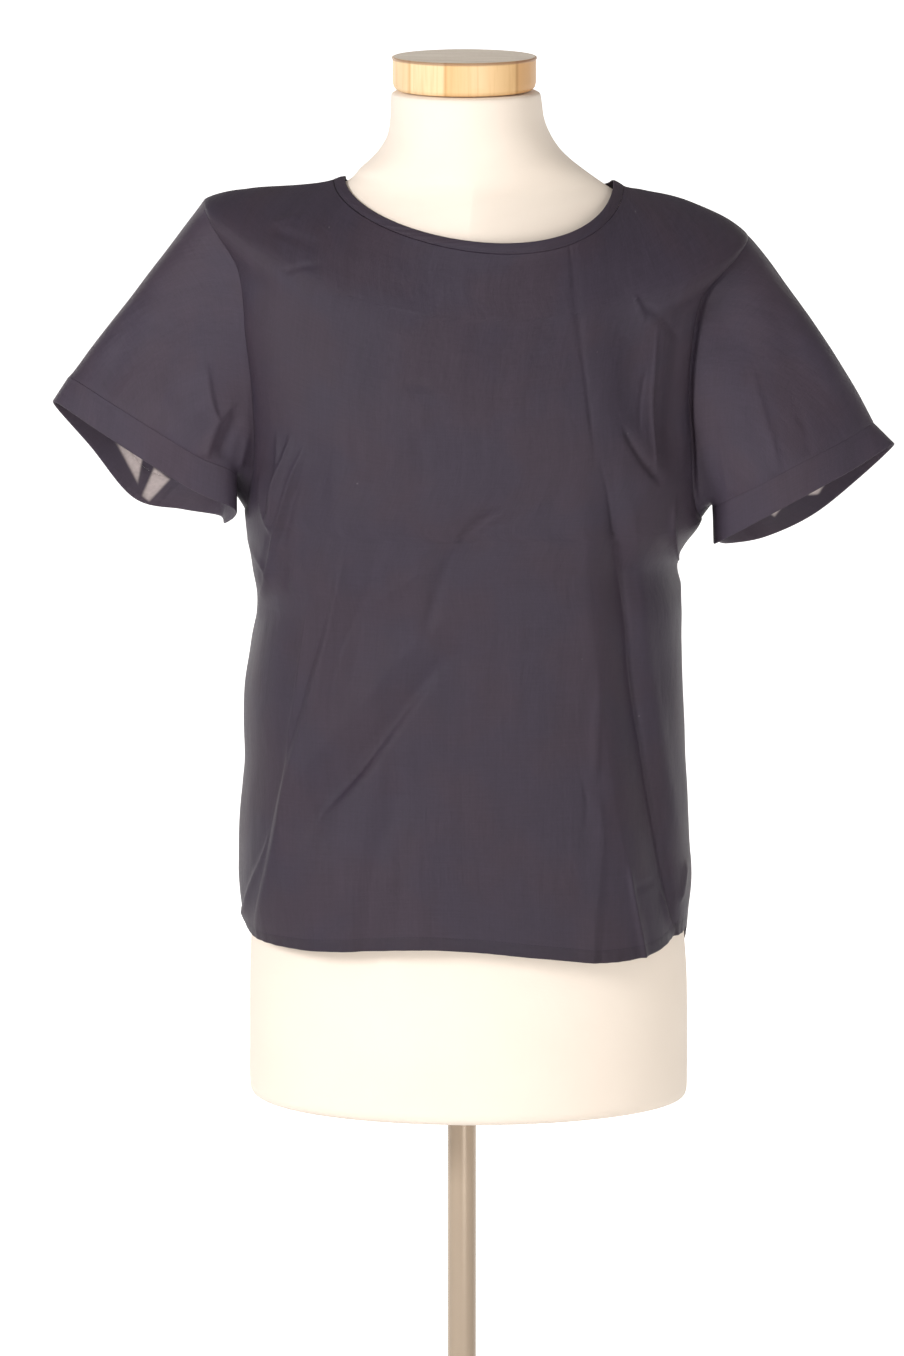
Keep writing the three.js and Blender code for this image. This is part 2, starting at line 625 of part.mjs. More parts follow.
function panel(name, half, columns, frames, color) {
  const rows = rowLevels();
  const front = half === 'front';
  const grid = rows.map((row) => {
    const left = opening(-1, row.base);
    const right = opening(1, row.base);
    const from = front ? 180 + left : right;
    const to = front ? 360 - right : 180 - left;
    return Array.from({ length: columns + 1 }, (_, i) => {
      const angle = from + ((to - from) * i) / columns;
      const s = row.s(angle);
      return { angle, s, p: body(angle, s), normal: normalOf(body, angle, s) };
    });
  });
  const top = grid.length - 1;
  const walls = grid.map((row, j) =>
    row.map((spot, i) => {
      let p = spot.p.clone();
      let rim = spot.normal;
      if (i === 0 || i === columns) {
        const inner = grid[j][i === 0 ? 1 : columns - 1].p;
        p.addScaledVector(inner.clone().sub(spot.p).normalize(), SEAM_HALF);
        const side = front === (i === 0) ? -1 : 1;
        const k = ARMHOLE.findIndex((step) => Math.abs(step.s - rows[j].base) < 1e-6);
        if (k >= 0) {
          const frame = frames[side];
          rim = frame.rims[front ? k : (frame.count - k) % frame.count];
        }
      }
      if (j === top) {
        p = p.addScaledVector(grid[top - 1][i].p.clone().sub(spot.p).normalize(), SEAM_HALF);
      }
      const thick = rows[j].base < HEM_DEPTH - 0.5 ? HEM_CLOTH : CLOTH;
      const out = rim.clone().multiplyScalar(thick - CLOTH / 2);
      return { p, out, into: rim.clone().multiplyScalar(CLOTH / 2) };
    }),
  );
  return wallSolid(name, walls, false, color);
}

function neckBinding(name) {
  const count = 56;
  const angles = Array.from({ length: count }, (_, i) => (360 * i) / count);
  const rows = [0, 0.5, 1].map((t) =>
    angles.map((angle) => {
      const low = bindingStart(angle);
      const s = low + (NECK_EDGE - low) * t;
      const p = body(angle, s);
      if (t === 0) {
        p.addScaledVector(body(angle, NECK_EDGE).sub(p).normalize(), SEAM_HALF);
      }
      const normal = normalOf(body, angle, s);
      const out = normal.clone().multiplyScalar(BINDING_OUT);
      return { p, out, into: normal.clone().multiplyScalar(BINDING_IN) };
    }),
  );
  return wallSolid(name, rows, true, 0x3f3a45);
}

// ---------- dress form, cap, pole and base ----------
function dressForm(name) {
  const rings = FORM_LEVELS.map((row) => {
    const ring = [];
    for (let i = 0; i < FORM_COLUMNS; i += 1) {
      const a = (2 * Math.PI * i) / FORM_COLUMNS;
      const c = Math.sign(Math.cos(a)) * Math.abs(Math.cos(a)) ** (2 / row.n);
      const f = Math.sign(Math.sin(a)) * Math.abs(Math.sin(a)) ** (2 / row.n);
      ring.push(vec(row.cx + row.half * c, (f < 0 ? -row.yf : row.yb) * f, row.z));
    }
    return ring;
  });
  return ringSolid(name, rings, 0xf1e6d8);
}

function standBase(name) {
  const profile = [
    { r: 40, z: 0 },
    { r: BASE_RADIUS - 2, z: 0 },
    { r: BASE_RADIUS, z: 2 },
    { r: BASE_RADIUS, z: BASE_PLATE - 4 },
    { r: BASE_RADIUS - 5, z: BASE_PLATE },
    { r: COLLAR_RADIUS + 4, z: BASE_PLATE },
    { r: COLLAR_RADIUS, z: BASE_PLATE + 4 },
    { r: COLLAR_RADIUS, z: COLLAR_TOP - 2 },
    { r: COLLAR_RADIUS - 2, z: COLLAR_TOP },
    { r: BORE_RADIUS, z: COLLAR_TOP },
    { r: BORE_RADIUS, z: BASE_PLATE },
  ];
  return turned(name, profile, POLE_X, 48, 0xb9bcc0);
}

const frames = { '-1': sleeveFrame(-1, LEFT_SEEN_CUFF), 1: sleeveFrame(1, RIGHT_SEEN_CUFF) };
const poleProfile = [
  { r: POLE_RADIUS, z: POLE_FOOT },
  { r: POLE_RADIUS, z: POLE_TOP },
];

const group = new THREE.Group();
group.name = 'blouse_on_form';
group.add(dressForm('dress_form'));
group.add(turned('neck_cap', CAP_PROFILE, CAP_X, CAP_COLUMNS, 0xe2b57a));
group.add(turned('pole', poleProfile, POLE_X, 24, 0xc9c6c0));
group.add(standBase('stand_base'));
group.add(panel('front_panel', 'front', FRONT_COLUMNS, frames, 0x49434f));
group.add(panel('back_panel', 'back', BACK_COLUMNS, frames, 0x443e4a));
group.add(neckBinding('neck_binding'));
group.add(...sleeveAndCuff(1, frames[1], 'sleeve_left', 'cuff_left'));
group.add(...sleeveAndCuff(-1, frames[-1], 'sleeve_right', 'cuff_right'));

export default group;
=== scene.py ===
"""Short-sleeve blouse worn on a limbless dress form, with its cap, pole and base.

The tables hold the part's own sizes in millimetres and the meshes are in metres, in the
frame's own place: +Z up, the front faces -Y, and the wearer's left is +X.
"""

import logging
import math
from dataclasses import dataclass
from enum import Enum
from typing import Any, Callable, Optional, Sequence, Union

import bpy
import numpy as np
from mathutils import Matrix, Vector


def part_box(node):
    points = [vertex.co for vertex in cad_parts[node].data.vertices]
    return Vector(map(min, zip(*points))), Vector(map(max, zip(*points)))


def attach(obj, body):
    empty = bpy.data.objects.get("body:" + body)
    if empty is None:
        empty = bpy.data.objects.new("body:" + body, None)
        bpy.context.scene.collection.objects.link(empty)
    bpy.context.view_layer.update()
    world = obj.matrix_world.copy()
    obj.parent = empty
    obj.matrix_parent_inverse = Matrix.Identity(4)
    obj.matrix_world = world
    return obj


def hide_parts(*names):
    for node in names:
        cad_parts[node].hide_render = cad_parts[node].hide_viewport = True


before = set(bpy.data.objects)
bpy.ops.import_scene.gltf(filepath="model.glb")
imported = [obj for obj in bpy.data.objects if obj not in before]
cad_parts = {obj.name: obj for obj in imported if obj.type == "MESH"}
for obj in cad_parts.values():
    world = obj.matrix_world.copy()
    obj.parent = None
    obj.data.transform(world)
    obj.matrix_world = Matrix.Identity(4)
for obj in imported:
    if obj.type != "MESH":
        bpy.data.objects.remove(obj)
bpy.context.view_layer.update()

LOG = logging.getLogger("blouse")
MM = 0.001
Colour = tuple[float, float, float]
Outline = tuple[tuple[float, float], ...]
Surface = Callable[[np.ndarray, np.ndarray], np.ndarray]

# ---------- cloth sizes, in millimetres ----------
HALF_CLOTH = 0.45
HEM_DEPTH = 9.5
HEM_STITCHES = 8.6
BINDING_DEPTH = 9.0
BINDING_STITCHES = 1.4
SEAM_HALF = 0.04
STITCH_RISE = 0.02
NECK_EDGE = 600.0
BACK_DIP = 7.0
UNDERARM = 325.0
NECK_SKEW = 20.0
HEM_REACH = 110.0
EDGE_ROUND = 0.4
MITRE_REACH = 5.0


class Half(Enum):
    """Which half of the body a panel covers."""

    FRONT = "front"
    BACK = "back"


class Side(Enum):
    """A side of the wearer, as the sign of X."""

    LEFT = 1
    RIGHT = -1


# ---------- smooth tables ----------
def smooth(t: np.ndarray) -> np.ndarray:
    """Rise from 0 to 1 with level ends, held outside."""
    t = np.clip(t, 0.0, 1.0)
    return t * t * (3 - 2 * t)


def unit(vectors: np.ndarray) -> np.ndarray:
    """Vectors of length one, along the last axis."""
    return vectors / np.maximum(np.linalg.norm(vectors, axis=-1, keepdims=True), 1e-9)


def hermite(
    p1: np.ndarray, m1: np.ndarray, p2: np.ndarray, m2: np.ndarray, t: np.ndarray
) -> np.ndarray:
    """Point of a smooth curve between two points.

    Args:
        p1: where the curve starts.
        m1: how it leaves.
        p2: where it ends.
        m2: how it arrives.
        t: how far along it the point is, from 0 to 1.

    Returns:
        The point.
    """
    h1 = 2 * t**3 - 3 * t**2 + 1
    h2 = t**3 - 2 * t**2 + t
    h4 = t**3 - t**2
    return h1 * p1 + h2 * m1 + (1 - h1) * p2 + h4 * m2


class Table:
    """Rows of sizes with named columns, whose first column is the key."""

    def __init__(self, columns: str, rows: Sequence[Sequence[float]]) -> None:
        """Keep the columns by name.

        Args:
            columns: the names, parted by spaces.
            rows: one row of numbers for each key.
        """
        self.keys = np.array([row[0] for row in rows], float)
        data = np.array(rows, float).T
        self.columns = dict(zip(columns.split(), data))

    def at(self, column: str, key: np.ndarray) -> np.ndarray:
        """Value of a column at a key, on a smooth curve through its rows.

        Args:
            column: the column's name.
            key: where to read it.

        Returns:
            The values, shaped as key.
        """
        keys, values = self.keys, self.columns[column]
        last = len(keys) - 1
        low, high = np.maximum(np.arange(last + 1) - 1, 0), np.minimum(np.arange(last + 1) + 1, last)
        slopes = (values[high] - values[low]) / (keys[high] - keys[low])
        i = np.clip(np.searchsorted(keys, key) - 1, 0, last - 1)
        span = keys[i + 1] - keys[i]
        t = np.clip((key - keys[i]) / span, 0.0, 1.0)
        return hermite(values[i], span * slopes[i], values[i + 1], span * slopes[i + 1], t)


# Each row is one level round the body, s up the cloth from the hem: the heights of its
# front, back and two sides, its reach each way, how square it is and how it falls. In
# these names l is the side at -X, the wearer's right, and r the side at +X.
LEVELS = Table(
    "s zf zb zl zr xl xr yf yb n fall",
    (
        (0, 800, 803, 812, 795, -177.6, 177.8, -138, 134, 2.1, 2),
        (30, 836, 836, 836, 832, -182, 181, -138, 134, 2.1, 2),
        (65, 870, 870, 870, 869, -181.5, 179.4, -137, 132, 2.1, 2),
        (95, 901, 901, 901, 901, -180, 178, -135, 129, 2.1, 2),
        (130, 935, 935, 935, 935, -177, 176, -132, 124, 2.1, 2),
        (160, 966, 966, 966, 966, -177.5, 175, -129, 119, 2.1, 2),
        (195, 1000, 1000, 1000, 1000, -176, 173.2, -127, 115, 2.1, 2),
        (227, 1032, 1032, 1032, 1032, -171, 172.3, -126, 112, 2.1, 2),
        (259, 1064, 1064, 1064, 1064, -166, 172, -126, 110, 2.1, 2),
        (291, 1098, 1098, 1099, 1097, -170.5, 166.5, -127, 109, 2.1, 2),
        (308, 1114, 1115, 1118, 1113, -174, 175, -127.5, 109, 2.1, 2),
        (325, 1130, 1132, 1138, 1131, -176, 188, -128, 109, 2.1, 2),
        (366, 1165, 1170, 1188, 1180, -180, 199, -129, 109, 2.1, 2),
        (407, 1200, 1208, 1240, 1228, -188, 202, -128, 107, 2.1, 2),
        (448, 1236, 1246, 1292, 1276, -194, 206, -123, 103, 2.1, 2),
        (489, 1270, 1285, 1344, 1321, -195, 211, -113, 98, 2, 1.9),
        (530, 1303, 1325, 1386.5, 1358.5, -210, 226, -101, 90, 2, 1.7),
        (553, 1322, 1348, 1394.5, 1384, -171, 178, -94, 82, 2, 1.5),
        (577, 1342, 1374, 1397.5, 1393.5, -131, 140, -87, 73, 2, 1.25),
        (589, 1352, 1386, 1399.8, 1395.8, -112, 127, -84, 69, 2, 1.15),
        (600, 1361, 1396, 1404.2, 1401, -96, 117, -81, 66, 2, 1.1),
    ),
)
HEM_LINE = Table(
    "angle z",
    (
        (0, 802), (9, 780), (45, 793), (90, 801), (135, 806), (169, 808), (180, 813), (189, 804),
        (212, 800), (240, 802), (264, 806.5), (285, 799), (305, 792), (325, 794), (340, 800),
        (351, 801), (360, 802),
    ),
)
# Half openings of the wearer's two armholes in degrees, from underarm to shoulder tip.
ARMHOLE = Table(
    "row s right left",
    (
        (0, 325, 0, 0), (1, 330, 6, 10), (2, 339, 10.5, 16), (3, 353, 15.5, 19.5),
        (4, 371, 19.5, 21.5), (5, 393, 22.7, 23), (6, 416, 24.5, 25), (7, 440, 24.5, 26.2),
        (8, 463, 23.4, 26.2), (9, 484, 21.4, 25), (10, 501, 19.6, 23.4), (11, 514, 17.6, 21),
        (12, 523, 13.8, 16.8), (13, 528, 8, 10), (14, 530, 0, 0),
    ),
)
ARMHOLE_ROWS = 14
# How deep the seam lies in the valley between the body and the sleeve.
VALLEYS = Table(
    "row right_front left_front right_back left_back",
    (
        (0, 0, 0, 0, 0), (1, 1.6, 2.4, 0.6, 0.6), (2, 3.4, 6.0, 1.2, 1.2), (4, 4.8, 11.5, 2.6, 2.6),
        (7, 3.2, 13.0, 3.4, 3.4), (9, 1.2, 11.0, 3.0, 3.2), (11, 0.3, 6.4, 2.0, 2.2),
        (13, 0.1, 1.8, 0.8, 1.0), (14, 0, 0, 0, 0),
    ),
)
VALLEY_REACH = {Side.RIGHT: 11.0, Side.LEFT: 17.0}
# How a sleeve climbs out of its valley: the depth spared, its share and how far it fades.
VALLEY_CLIMB = (3.0, 0.36, 26.0)
# How deep the cloth rounds inwards at the shoulder tip, and how far round it.
TIP_ROUND = (2.8, 18.0)
# How far each cuff stands out from its sleeve.
CUFF_STEP = {Side.RIGHT: 0.34, Side.LEFT: 0.1}
# Broad folds of each half, as seen along Y: a line from (x1, z1) to (x2, z2), its bow,
# half width and height.
BROAD_FOLDS = {
    Half.FRONT: (
        (-100, 1110, -158, 860, -8, 15, 5), (-78, 1100, -128, 880, -6, 16, -4),
        (-130, 1195, -160, 1080, 6, 15, 6), (-104, 1200, -132, 1100, 4, 15, -4),
        (-13, 1071, -141, 921, 8, 15, 3.4), (-3, 1045, -127, 896, 8, 15, -3.4),
        (30, 1150, -30, 1050, 14, 15, -3), (118, 1165, 160, 840, 6, 16, -6),
        (92, 1150, 134, 830, 6, 16, 3), (-55, 940, -50, 820, 0, 16, -2.5),
    ),
    Half.BACK: (
        (-80, 1110, -128, 850, -8, 16, 4.5), (-46, 1090, -88, 840, -6, 16, -4),
        (6, 1060, -20, 830, 6, 18, 3.5), (60, 1120, 84, 840, 6, 16, -4.5),
        (96, 1130, 128, 850, 6, 16, 4), (130, 1240, 40, 1150, -10, 15, 3),
    ),
}
# Sleeve ends, from the underarm forwards over the outer fold and back: the row's number,
# a point of the seam where the cuff starts, the same of the cuff's edge, and how far the
# sleeve swells on its way.
CUFFS = {
    Side.RIGHT: (
        (0, -190, -6, 1155, -192, -6, 1127, 0), (1, -183, -49, 1174, -183, -47, 1144, 0),
        (2, -211, -62, 1189, -215, -58, 1161, 3), (3, -247, -56, 1210, -254, -52, 1184, 3),
        (4, -283, -33, 1229, -293, -31, 1206, 1), (5, -316, 4, 1243, -329, 5, 1223, 0),
        (6, -289, 40, 1206, -301, 40, 1182, 2), (7, -257, 60, 1161, -267, 60, 1137, 4),
        (8, -221, 60, 1151, -228, 60, 1128, 3), (9, -195, 34, 1150, -198, 34, 1127, 0),
    ),
    Side.LEFT: (
        (0, 199, -5, 1143, 201, -5, 1112, 0), (1, 199, -43, 1147, 200, -41, 1117, 0),
        (2, 231, -58, 1165, 235, -55, 1138, 3), (3, 266, -52, 1183, 273, -50, 1158, 4),
        (4, 300, -30, 1197, 310, -28, 1175, 4), (5, 325, 4, 1206, 342, 5, 1189, 4.5),
        (6, 304, 38, 1181, 316, 38, 1157, 5), (7, 272, 58, 1151, 280, 58, 1124, 4),
        (8, 236, 58, 1133, 242, 58, 1106, 3), (9, 208, 30, 1131, 212, 30, 1105, 0),
    ),
}
FORM_LEVELS = Table(
    "z cx half yf yb n",
    (
        (658, 7, 163, -107, 105, 2), (659.4, 5, 170.5, -112, 110, 2), (663, 3.2, 175, -116, 113, 2),
        (670, 2.4, 176.5, -118, 115, 2), (710, 2.4, 176.5, -119, 116, 2), (760, 2.2, 176, -120, 116, 2),
        (800, 1.4, 174, -120, 116, 2), (850, 0.5, 172, -118, 114, 2), (900, 0, 164, -112, 108, 2),
        (950, 0, 150, -102, 98, 2), (1000, 0, 137, -94, 90, 2), (1045, 0, 130, -90, 86, 2),
        (1090, 0, 132, -94, 86, 2), (1140, 0, 140, -105, 90, 2), (1190, 0, 147, -113, 94, 2),
        (1240, 0, 153, -108, 93, 2), (1290, 1, 160, -93, 87, 2), (1330, 2, 164, -81, 76, 1.86),
        (1352, 3, 161, -75, 69, 1.64), (1370, 3.5, 148, -70, 64, 1.42), (1384, 4, 130, -66, 61, 1.3),
        (1395, 5.2, 110, -63.5, 60, 1.33), (1403.4, 6.1, 96.6, -62, 59.5, 1.48),
        (1411, 4.2, 88, -61.6, 59.5, 1.66), (1418, 3.6, 79.6, -61.4, 59.5, 1.82),
        (1426, 3.2, 71.8, -61.1, 59.5, 1.93), (1437, 2.6, 65, -60.6, 59.5, 2),
        (1450, 1.1, 61.1, -60, 59.5, 2), (1466, 0.2, 59.6, -59, 59, 2), (1470.5, 0, 58.6, -58, 58, 2),
        (1472, 0, 56, -55.5, 55.5, 2),
    ),
)


# ---------- creases ----------
@dataclass(frozen=True)
class Crease:
    """One crease of the cloth, drawn on it as seen along Y.

    Fields: name, by the wearer's sides, path of (x, z) points, half width and height at
    its two ends, how much wider it is to the left of its way than to the right, how sharp
    its crest is (2 is soft), and the share of its length that each end takes to rise.
    """

    name: str
    path: tuple[tuple[float, float], ...]
    half: tuple[float, float] = (4.0, 4.0)
    height: tuple[float, float] = (1.0, 1.0)
    lean: float = 1.0
    crisp: float = 2.0
    ends: tuple[float, float] = (0.25, 0.25)

    def line(self) -> np.ndarray:
        """Draw the path as a fine smooth line.

        Returns:
            Points of (x, z) in millimetres.
        """
        rough = np.array(self.path, float)
        padded = np.vstack([2 * rough[0] - rough[1], rough, 2 * rough[-1] - rough[-2]])
        steps = np.linspace(0, 1, 5)[:-1, None]
        spans = [
            hermite(b, (c - a) / 2, c, (d - b) / 2, steps)
            for a, b, c, d in zip(padded, padded[1:], padded[2:], padded[3:])
        ]
        return np.vstack([*spans, rough[-1:]])

    def raised(self, x: np.ndarray, z: np.ndarray) -> np.ndarray:
        """How far the crease lifts the cloth.

        Args:
            x: across, in millimetres.
            z: height, in millimetres.

        Returns:
            Millimetres outwards, shaped as x.
        """
        line = self.line()
        reach = 3.0 * max(self.half) * max(self.lean, 1 / self.lean)
        low, high = line.min(0) - reach, line.max(0) + reach
        near = (x > low[0]) & (x < high[0]) & (z > low[1]) & (z < high[1])
        lift = np.zeros_like(x)
        if not near.any():
            return lift
        spots = np.stack([x[near], z[near]], -1)
        sizes = np.linalg.norm(np.diff(line, axis=0), axis=1)
        travelled = np.concatenate([[0.0], np.cumsum(sizes)])
        best = np.full(len(spots), np.inf)
        share, turn = np.zeros(len(spots)), np.ones(len(spots))
        for start, end, size, before in zip(line, line[1:], sizes, travelled):
            step = (end - start) / size
            t = np.clip((spots - start) @ step, 0.0, size)
            gap = spots - start - t[:, None] * step
            distance = np.hypot(gap[:, 0], gap[:, 1])
            closer = distance < best
            best = np.where(closer, distance, best)
            share = np.where(closer, (before + t) / travelled[-1], share)
            turn = np.where(closer, np.sign(step[0] * gap[:, 1] - step[1] * gap[:, 0]), turn)
        half = self.half[0] + (self.half[1] - self.half[0]) * share
        half = half * np.where(turn > 0, self.lean, 1 / self.lean)
        height = self.height[0] + (self.height[1] - self.height[0]) * share
        rise = smooth((share + 0.02) / (self.ends[0] + 0.02))
        rise *= smooth((1.02 - share) / (self.ends[1] + 0.02))
        lift[near] = height * rise * np.exp(-((best / half) ** self.crisp))
        return lift


FRONT_CREASES = (
    Crease("right side pull", ((-94, 1146), (-97, 1113), (-102, 1090), (-108, 1059), (-117, 1026),
           (-127, 988), (-138, 950), (-146, 917), (-152, 885), (-158, 856), (-167, 820),
           (-172, 790)), half=(3.4, 4.8), height=(1.3, 2.3), lean=0.95, crisp=1.3, ends=(0.2, 0)),
    Crease("right side hollow", ((-99, 1130), (-107, 1085), (-115, 1050), (-125, 1015), (-139, 965),
           (-150, 920), (-158, 880), (-166, 835), (-171, 795)),
           half=(4.4, 5.4), height=(-1.0, -2.4), lean=0.6, crisp=1.4, ends=(0.2, 0)),
    Crease("hem corner twin", ((-153, 905), (-162, 872), (-173, 840), (-179, 810)),
           half=(1.7, 2.0), height=(0.8, 2.6), lean=1.5, crisp=1.3, ends=(0.3, 0)),
    Crease("right second pull", ((-122, 1099), (-128, 1054), (-134, 1009), (-140, 973), (-144, 929),
           (-153, 895)), half=(2.2, 2.6), height=(0.9, 1.6), lean=1.5, crisp=1.3),
    Crease("right waist step", ((-64, 1113), (-75, 1094), (-88, 1065), (-98, 1043), (-104, 1020),
           (-107, 995), (-107, 973), (-107, 940)),
           half=(2.2, 2.4), height=(-0.9, -0.5), lean=0.6, crisp=1.3),
    Crease("waist diagonal", ((-1, 1051), (-13, 1033), (-30, 1009), (-52, 979), (-72, 950),
           (-88, 933), (-103, 911)),
           half=(3.4, 4.4), height=(0.7, 1.5), lean=2.4, crisp=1.3, ends=(0.2, 0.3)),
    Crease("waist diagonal hollow", ((-10, 1052), (-21, 1035), (-38, 1010), (-60, 980), (-80, 952),
           (-98, 930), (-118, 905)),
           half=(4.4, 5.6), height=(-1.6, -5.0), lean=0.5, crisp=1.35, ends=(0.25, 0.3)),
    Crease("bust crease", ((-6, 1131), (-13, 1117), (-21, 1096), (-28, 1070), (-32, 1048)),
           half=(3.0, 3.4), height=(-2.2, -2.6), lean=0.6, crisp=1.35, ends=(0.2, 0.35)),
    Crease("bust crease top", ((36, 1161), (16, 1151), (3, 1141), (-6, 1128)),
           half=(2.6, 3.0), height=(-1.4, -2.4), crisp=1.4, ends=(0.35, 0.15)),
    Crease("bust dash", ((-22, 1116), (-44, 1101), (-66, 1086), (-84, 1070)),
           half=(3.2, 3.2), height=(0.9, 0.8), lean=1.3, crisp=1.5),
    Crease("centre hollow", ((-54, 968), (-60, 918), (-71, 880), (-78, 829), (-82, 790)),
           half=(8, 9), height=(-1.6, -2.6), ends=(0.25, 0)),
    Crease("centre swell", ((-34, 930), (-38, 880), (-42, 790)),
           half=(12, 14), height=(0.8, 1.8), ends=(0.4, 0)),
    Crease("right hem swell", ((-112, 905), (-118, 860), (-124, 790)),
           half=(11, 13), height=(1.0, 2.2), ends=(0.35, 0)),
    Crease("middle dip", ((-2, 945), (-4, 895), (-6, 847)), half=(5, 6), height=(-1.0, -1.1)),
    Crease("middle line", ((-9, 935), (-6, 880), (-5, 820)), half=(2.6, 3), height=(0.5, 0.6)),
    Crease("underarm tick", ((-174, 1119), (-167, 1110), (-160, 1101), (-156, 1092)),
           half=(1.9, 2.1), height=(1.6, 2.2), crisp=1.3),
    Crease("underarm dash", ((-140, 1109), (-142, 1083)), half=(2.5, 2.8), height=(-1.6, -1.2)),
    Crease("fan first", ((-150, 1214), (-148, 1189), (-151, 1162), (-155, 1140), (-153, 1126)),
           half=(1.8, 2.1), height=(2.6, 3.8), lean=1.4, crisp=1.3),
    Crease("fan second", ((-136, 1213), (-143, 1192), (-150, 1169), (-156, 1150)),
           half=(1.8, 2.1), height=(2.6, 3.4), lean=1.4, crisp=1.3),
    Crease("fan third", ((-124, 1208), (-136, 1183), (-144, 1158), (-151, 1130), (-156, 1100),
           (-162, 1074), (-167, 1040)),
           half=(2.0, 2.4), height=(2.6, 3.4), lean=1.6, crisp=1.3, ends=(0.2, 0.4)),
    Crease("fan fourth", ((-164, 1176), (-160, 1148), (-153, 1131)),
           half=(1.8, 2.1), height=(2.4, 3.6), lean=1.3, crisp=1.3),
    Crease("fan hollow", ((-130, 1182), (-139, 1150), (-146, 1118)), half=(4, 4), height=(-1.8, -2.4)),
    Crease("armpit swell", ((-106, 1212), (-101, 1170), (-98, 1115)), half=(9, 9), height=(1.6, 1.6)),
    Crease("chest hollow", ((-87, 1222), (-85, 1190), (-80, 1162)), half=(5, 6), height=(-1.3, -1.2)),
    Crease("middle band", ((-36, 1224), (-35, 1185), (-37, 1150)), half=(8, 8), height=(-1.2, -1.0)),
    Crease("chest dash", ((-52, 1254), (-39, 1254), (-25, 1252)), half=(1.8, 2.2), height=(-0.9, -0.9)),
    Crease("shoulder crest", ((-154, 1371), (-141, 1375), (-127, 1379)),
           half=(2.4, 2.4), height=(1.3, 1.0), crisp=1.5),
    Crease("shoulder pinch", ((-156, 1368), (-136, 1363), (-112, 1355)),
           half=(3.4, 3.8), height=(-1.4, -1.0)),
    Crease("shoulder pinch low", ((-146, 1336), (-130, 1341), (-113, 1343)),
           half=(2.6, 2.8), height=(-1.1, -0.9)),
    Crease("neck pleat", ((81, 1360), (83, 1340), (85, 1318), (89, 1288), (94, 1254), (98, 1222),
           (101, 1192)), half=(1.5, 2.2), height=(-1.1, -1.2), lean=1.4, crisp=1.4, ends=(0, 0.25)),
    Crease("neck pleat twin", ((85, 1360), (87.5, 1335), (90, 1305), (93, 1278)),
           half=(1.2, 1.5), height=(-0.4, -0.4), crisp=1.5, ends=(0, 0.4)),
    Crease("left chest fall", ((150, 1345), (153, 1290), (153, 1230), (151, 1172)),
           half=(28, 26), height=(-1.6, -4.5), ends=(0.4, 0.3)),
    Crease("collarbone tick", ((132, 1322), (137, 1311), (143, 1299)),
           half=(1.5, 1.6), height=(1.6, 1.5), crisp=1.3),
    Crease("shoulder slant", ((137, 1316), (152, 1303), (168, 1288), (174, 1280)),
           half=(1.8, 2.0), height=(-1.8, -1.7), lean=0.8, crisp=1.4),
    Crease("left chest crest", ((151, 1304), (151, 1285), (150, 1262), (149, 1235), (150, 1205),
           (151, 1178)), half=(1.7, 2.1), height=(1.4, 1.8), lean=1.2, crisp=1.25),
    Crease("left chest hollow", ((144, 1266), (142, 1248), (139.5, 1230), (138, 1212)),
           half=(2.0, 2.4), height=(-1.2, -1.0), lean=0.7, crisp=1.4),
    Crease("left chest slant", ((121, 1222), (131, 1204), (142, 1187), (156, 1171)),
           half=(2.2, 2.6), height=(-2.6, -3.8), lean=1.5, crisp=1.35),
    Crease("left armpit hollow", ((172, 1318), (168, 1268), (166, 1220), (162, 1170)),
           half=(9, 10), height=(-3.0, -5.0)),
    Crease("left side trough", ((103, 1200), (111, 1168), (115, 1141), (119, 1113), (122, 1090),
           (126, 1055), (129, 1020), (136, 975), (145, 923), (156, 867), (165, 825), (171, 790)),
           half=(6.0, 6.6), height=(-2.0, -4.4), lean=0.75, crisp=1.25, ends=(0.2, 0)),
    Crease("left side cut", ((104, 1196), (111.5, 1168), (116, 1141), (120, 1113), (123, 1090),
           (127, 1055), (130, 1020), (137, 975), (146, 923), (157, 867), (166, 825), (172, 790)),
           half=(1.6, 1.8), height=(-1.3, -2.2), crisp=1.3, ends=(0.15, 0)),
    Crease("pleat shade", ((118, 1350), (126, 1300), (132, 1250), (136, 1205)),
           half=(22, 19), height=(-3.0, -5.6), ends=(0.4, 0.3)),
    Crease("left side crest", ((118, 1195), (129, 1150), (137, 1100), (142, 1050), (150, 990),
           (161, 930), (171, 870)), half=(6, 6), height=(1.0, 1.6), ends=(0.25, 0.1)),
    Crease("left underarm crest", ((166, 1164), (163, 1140), (165, 1115), (168, 1090), (171, 1058)),
           half=(2.0, 2.4), height=(3.6, 2.8), crisp=1.25),
    Crease("left waist line", ((106, 1025), (103, 975), (101, 932)),
           half=(4, 4.6), height=(1.4, 1.6), lean=0.8),
    Crease("left waist slit", ((92, 942), (95, 923), (94, 902)),
           half=(1.4, 1.7), height=(-1.0, -0.9), crisp=1.5),
    Crease("left hem step", ((103, 935), (107, 900), (105, 860), (100, 790)),
           half=(5.5, 7), height=(1.4, 2.2), lean=0.75, crisp=1.6, ends=(0.2, 0)),
    Crease("hem spur", ((127, 882), (132, 846), (137, 818), (142, 785)),
           half=(1.7, 2.2), height=(1.8, 3.4), lean=1.3, crisp=1.3, ends=(0.3, 0)),
    Crease("hem spur low", ((154, 850), (162, 822), (171, 800), (176, 788)),
           half=(1.8, 2.1), height=(2.0, 3.4), lean=1.3, crisp=1.3, ends=(0.3, 0)),
    Crease("hem cross", ((131, 849), (141, 850), (152, 852)),
           half=(1.6, 1.8), height=(-1.5, -1.4), crisp=1.5),
    Crease("side spur", ((176, 862), (174, 845), (171, 826)),
           half=(2.6, 2.6), height=(2.2, 2.4), crisp=1.4),
)
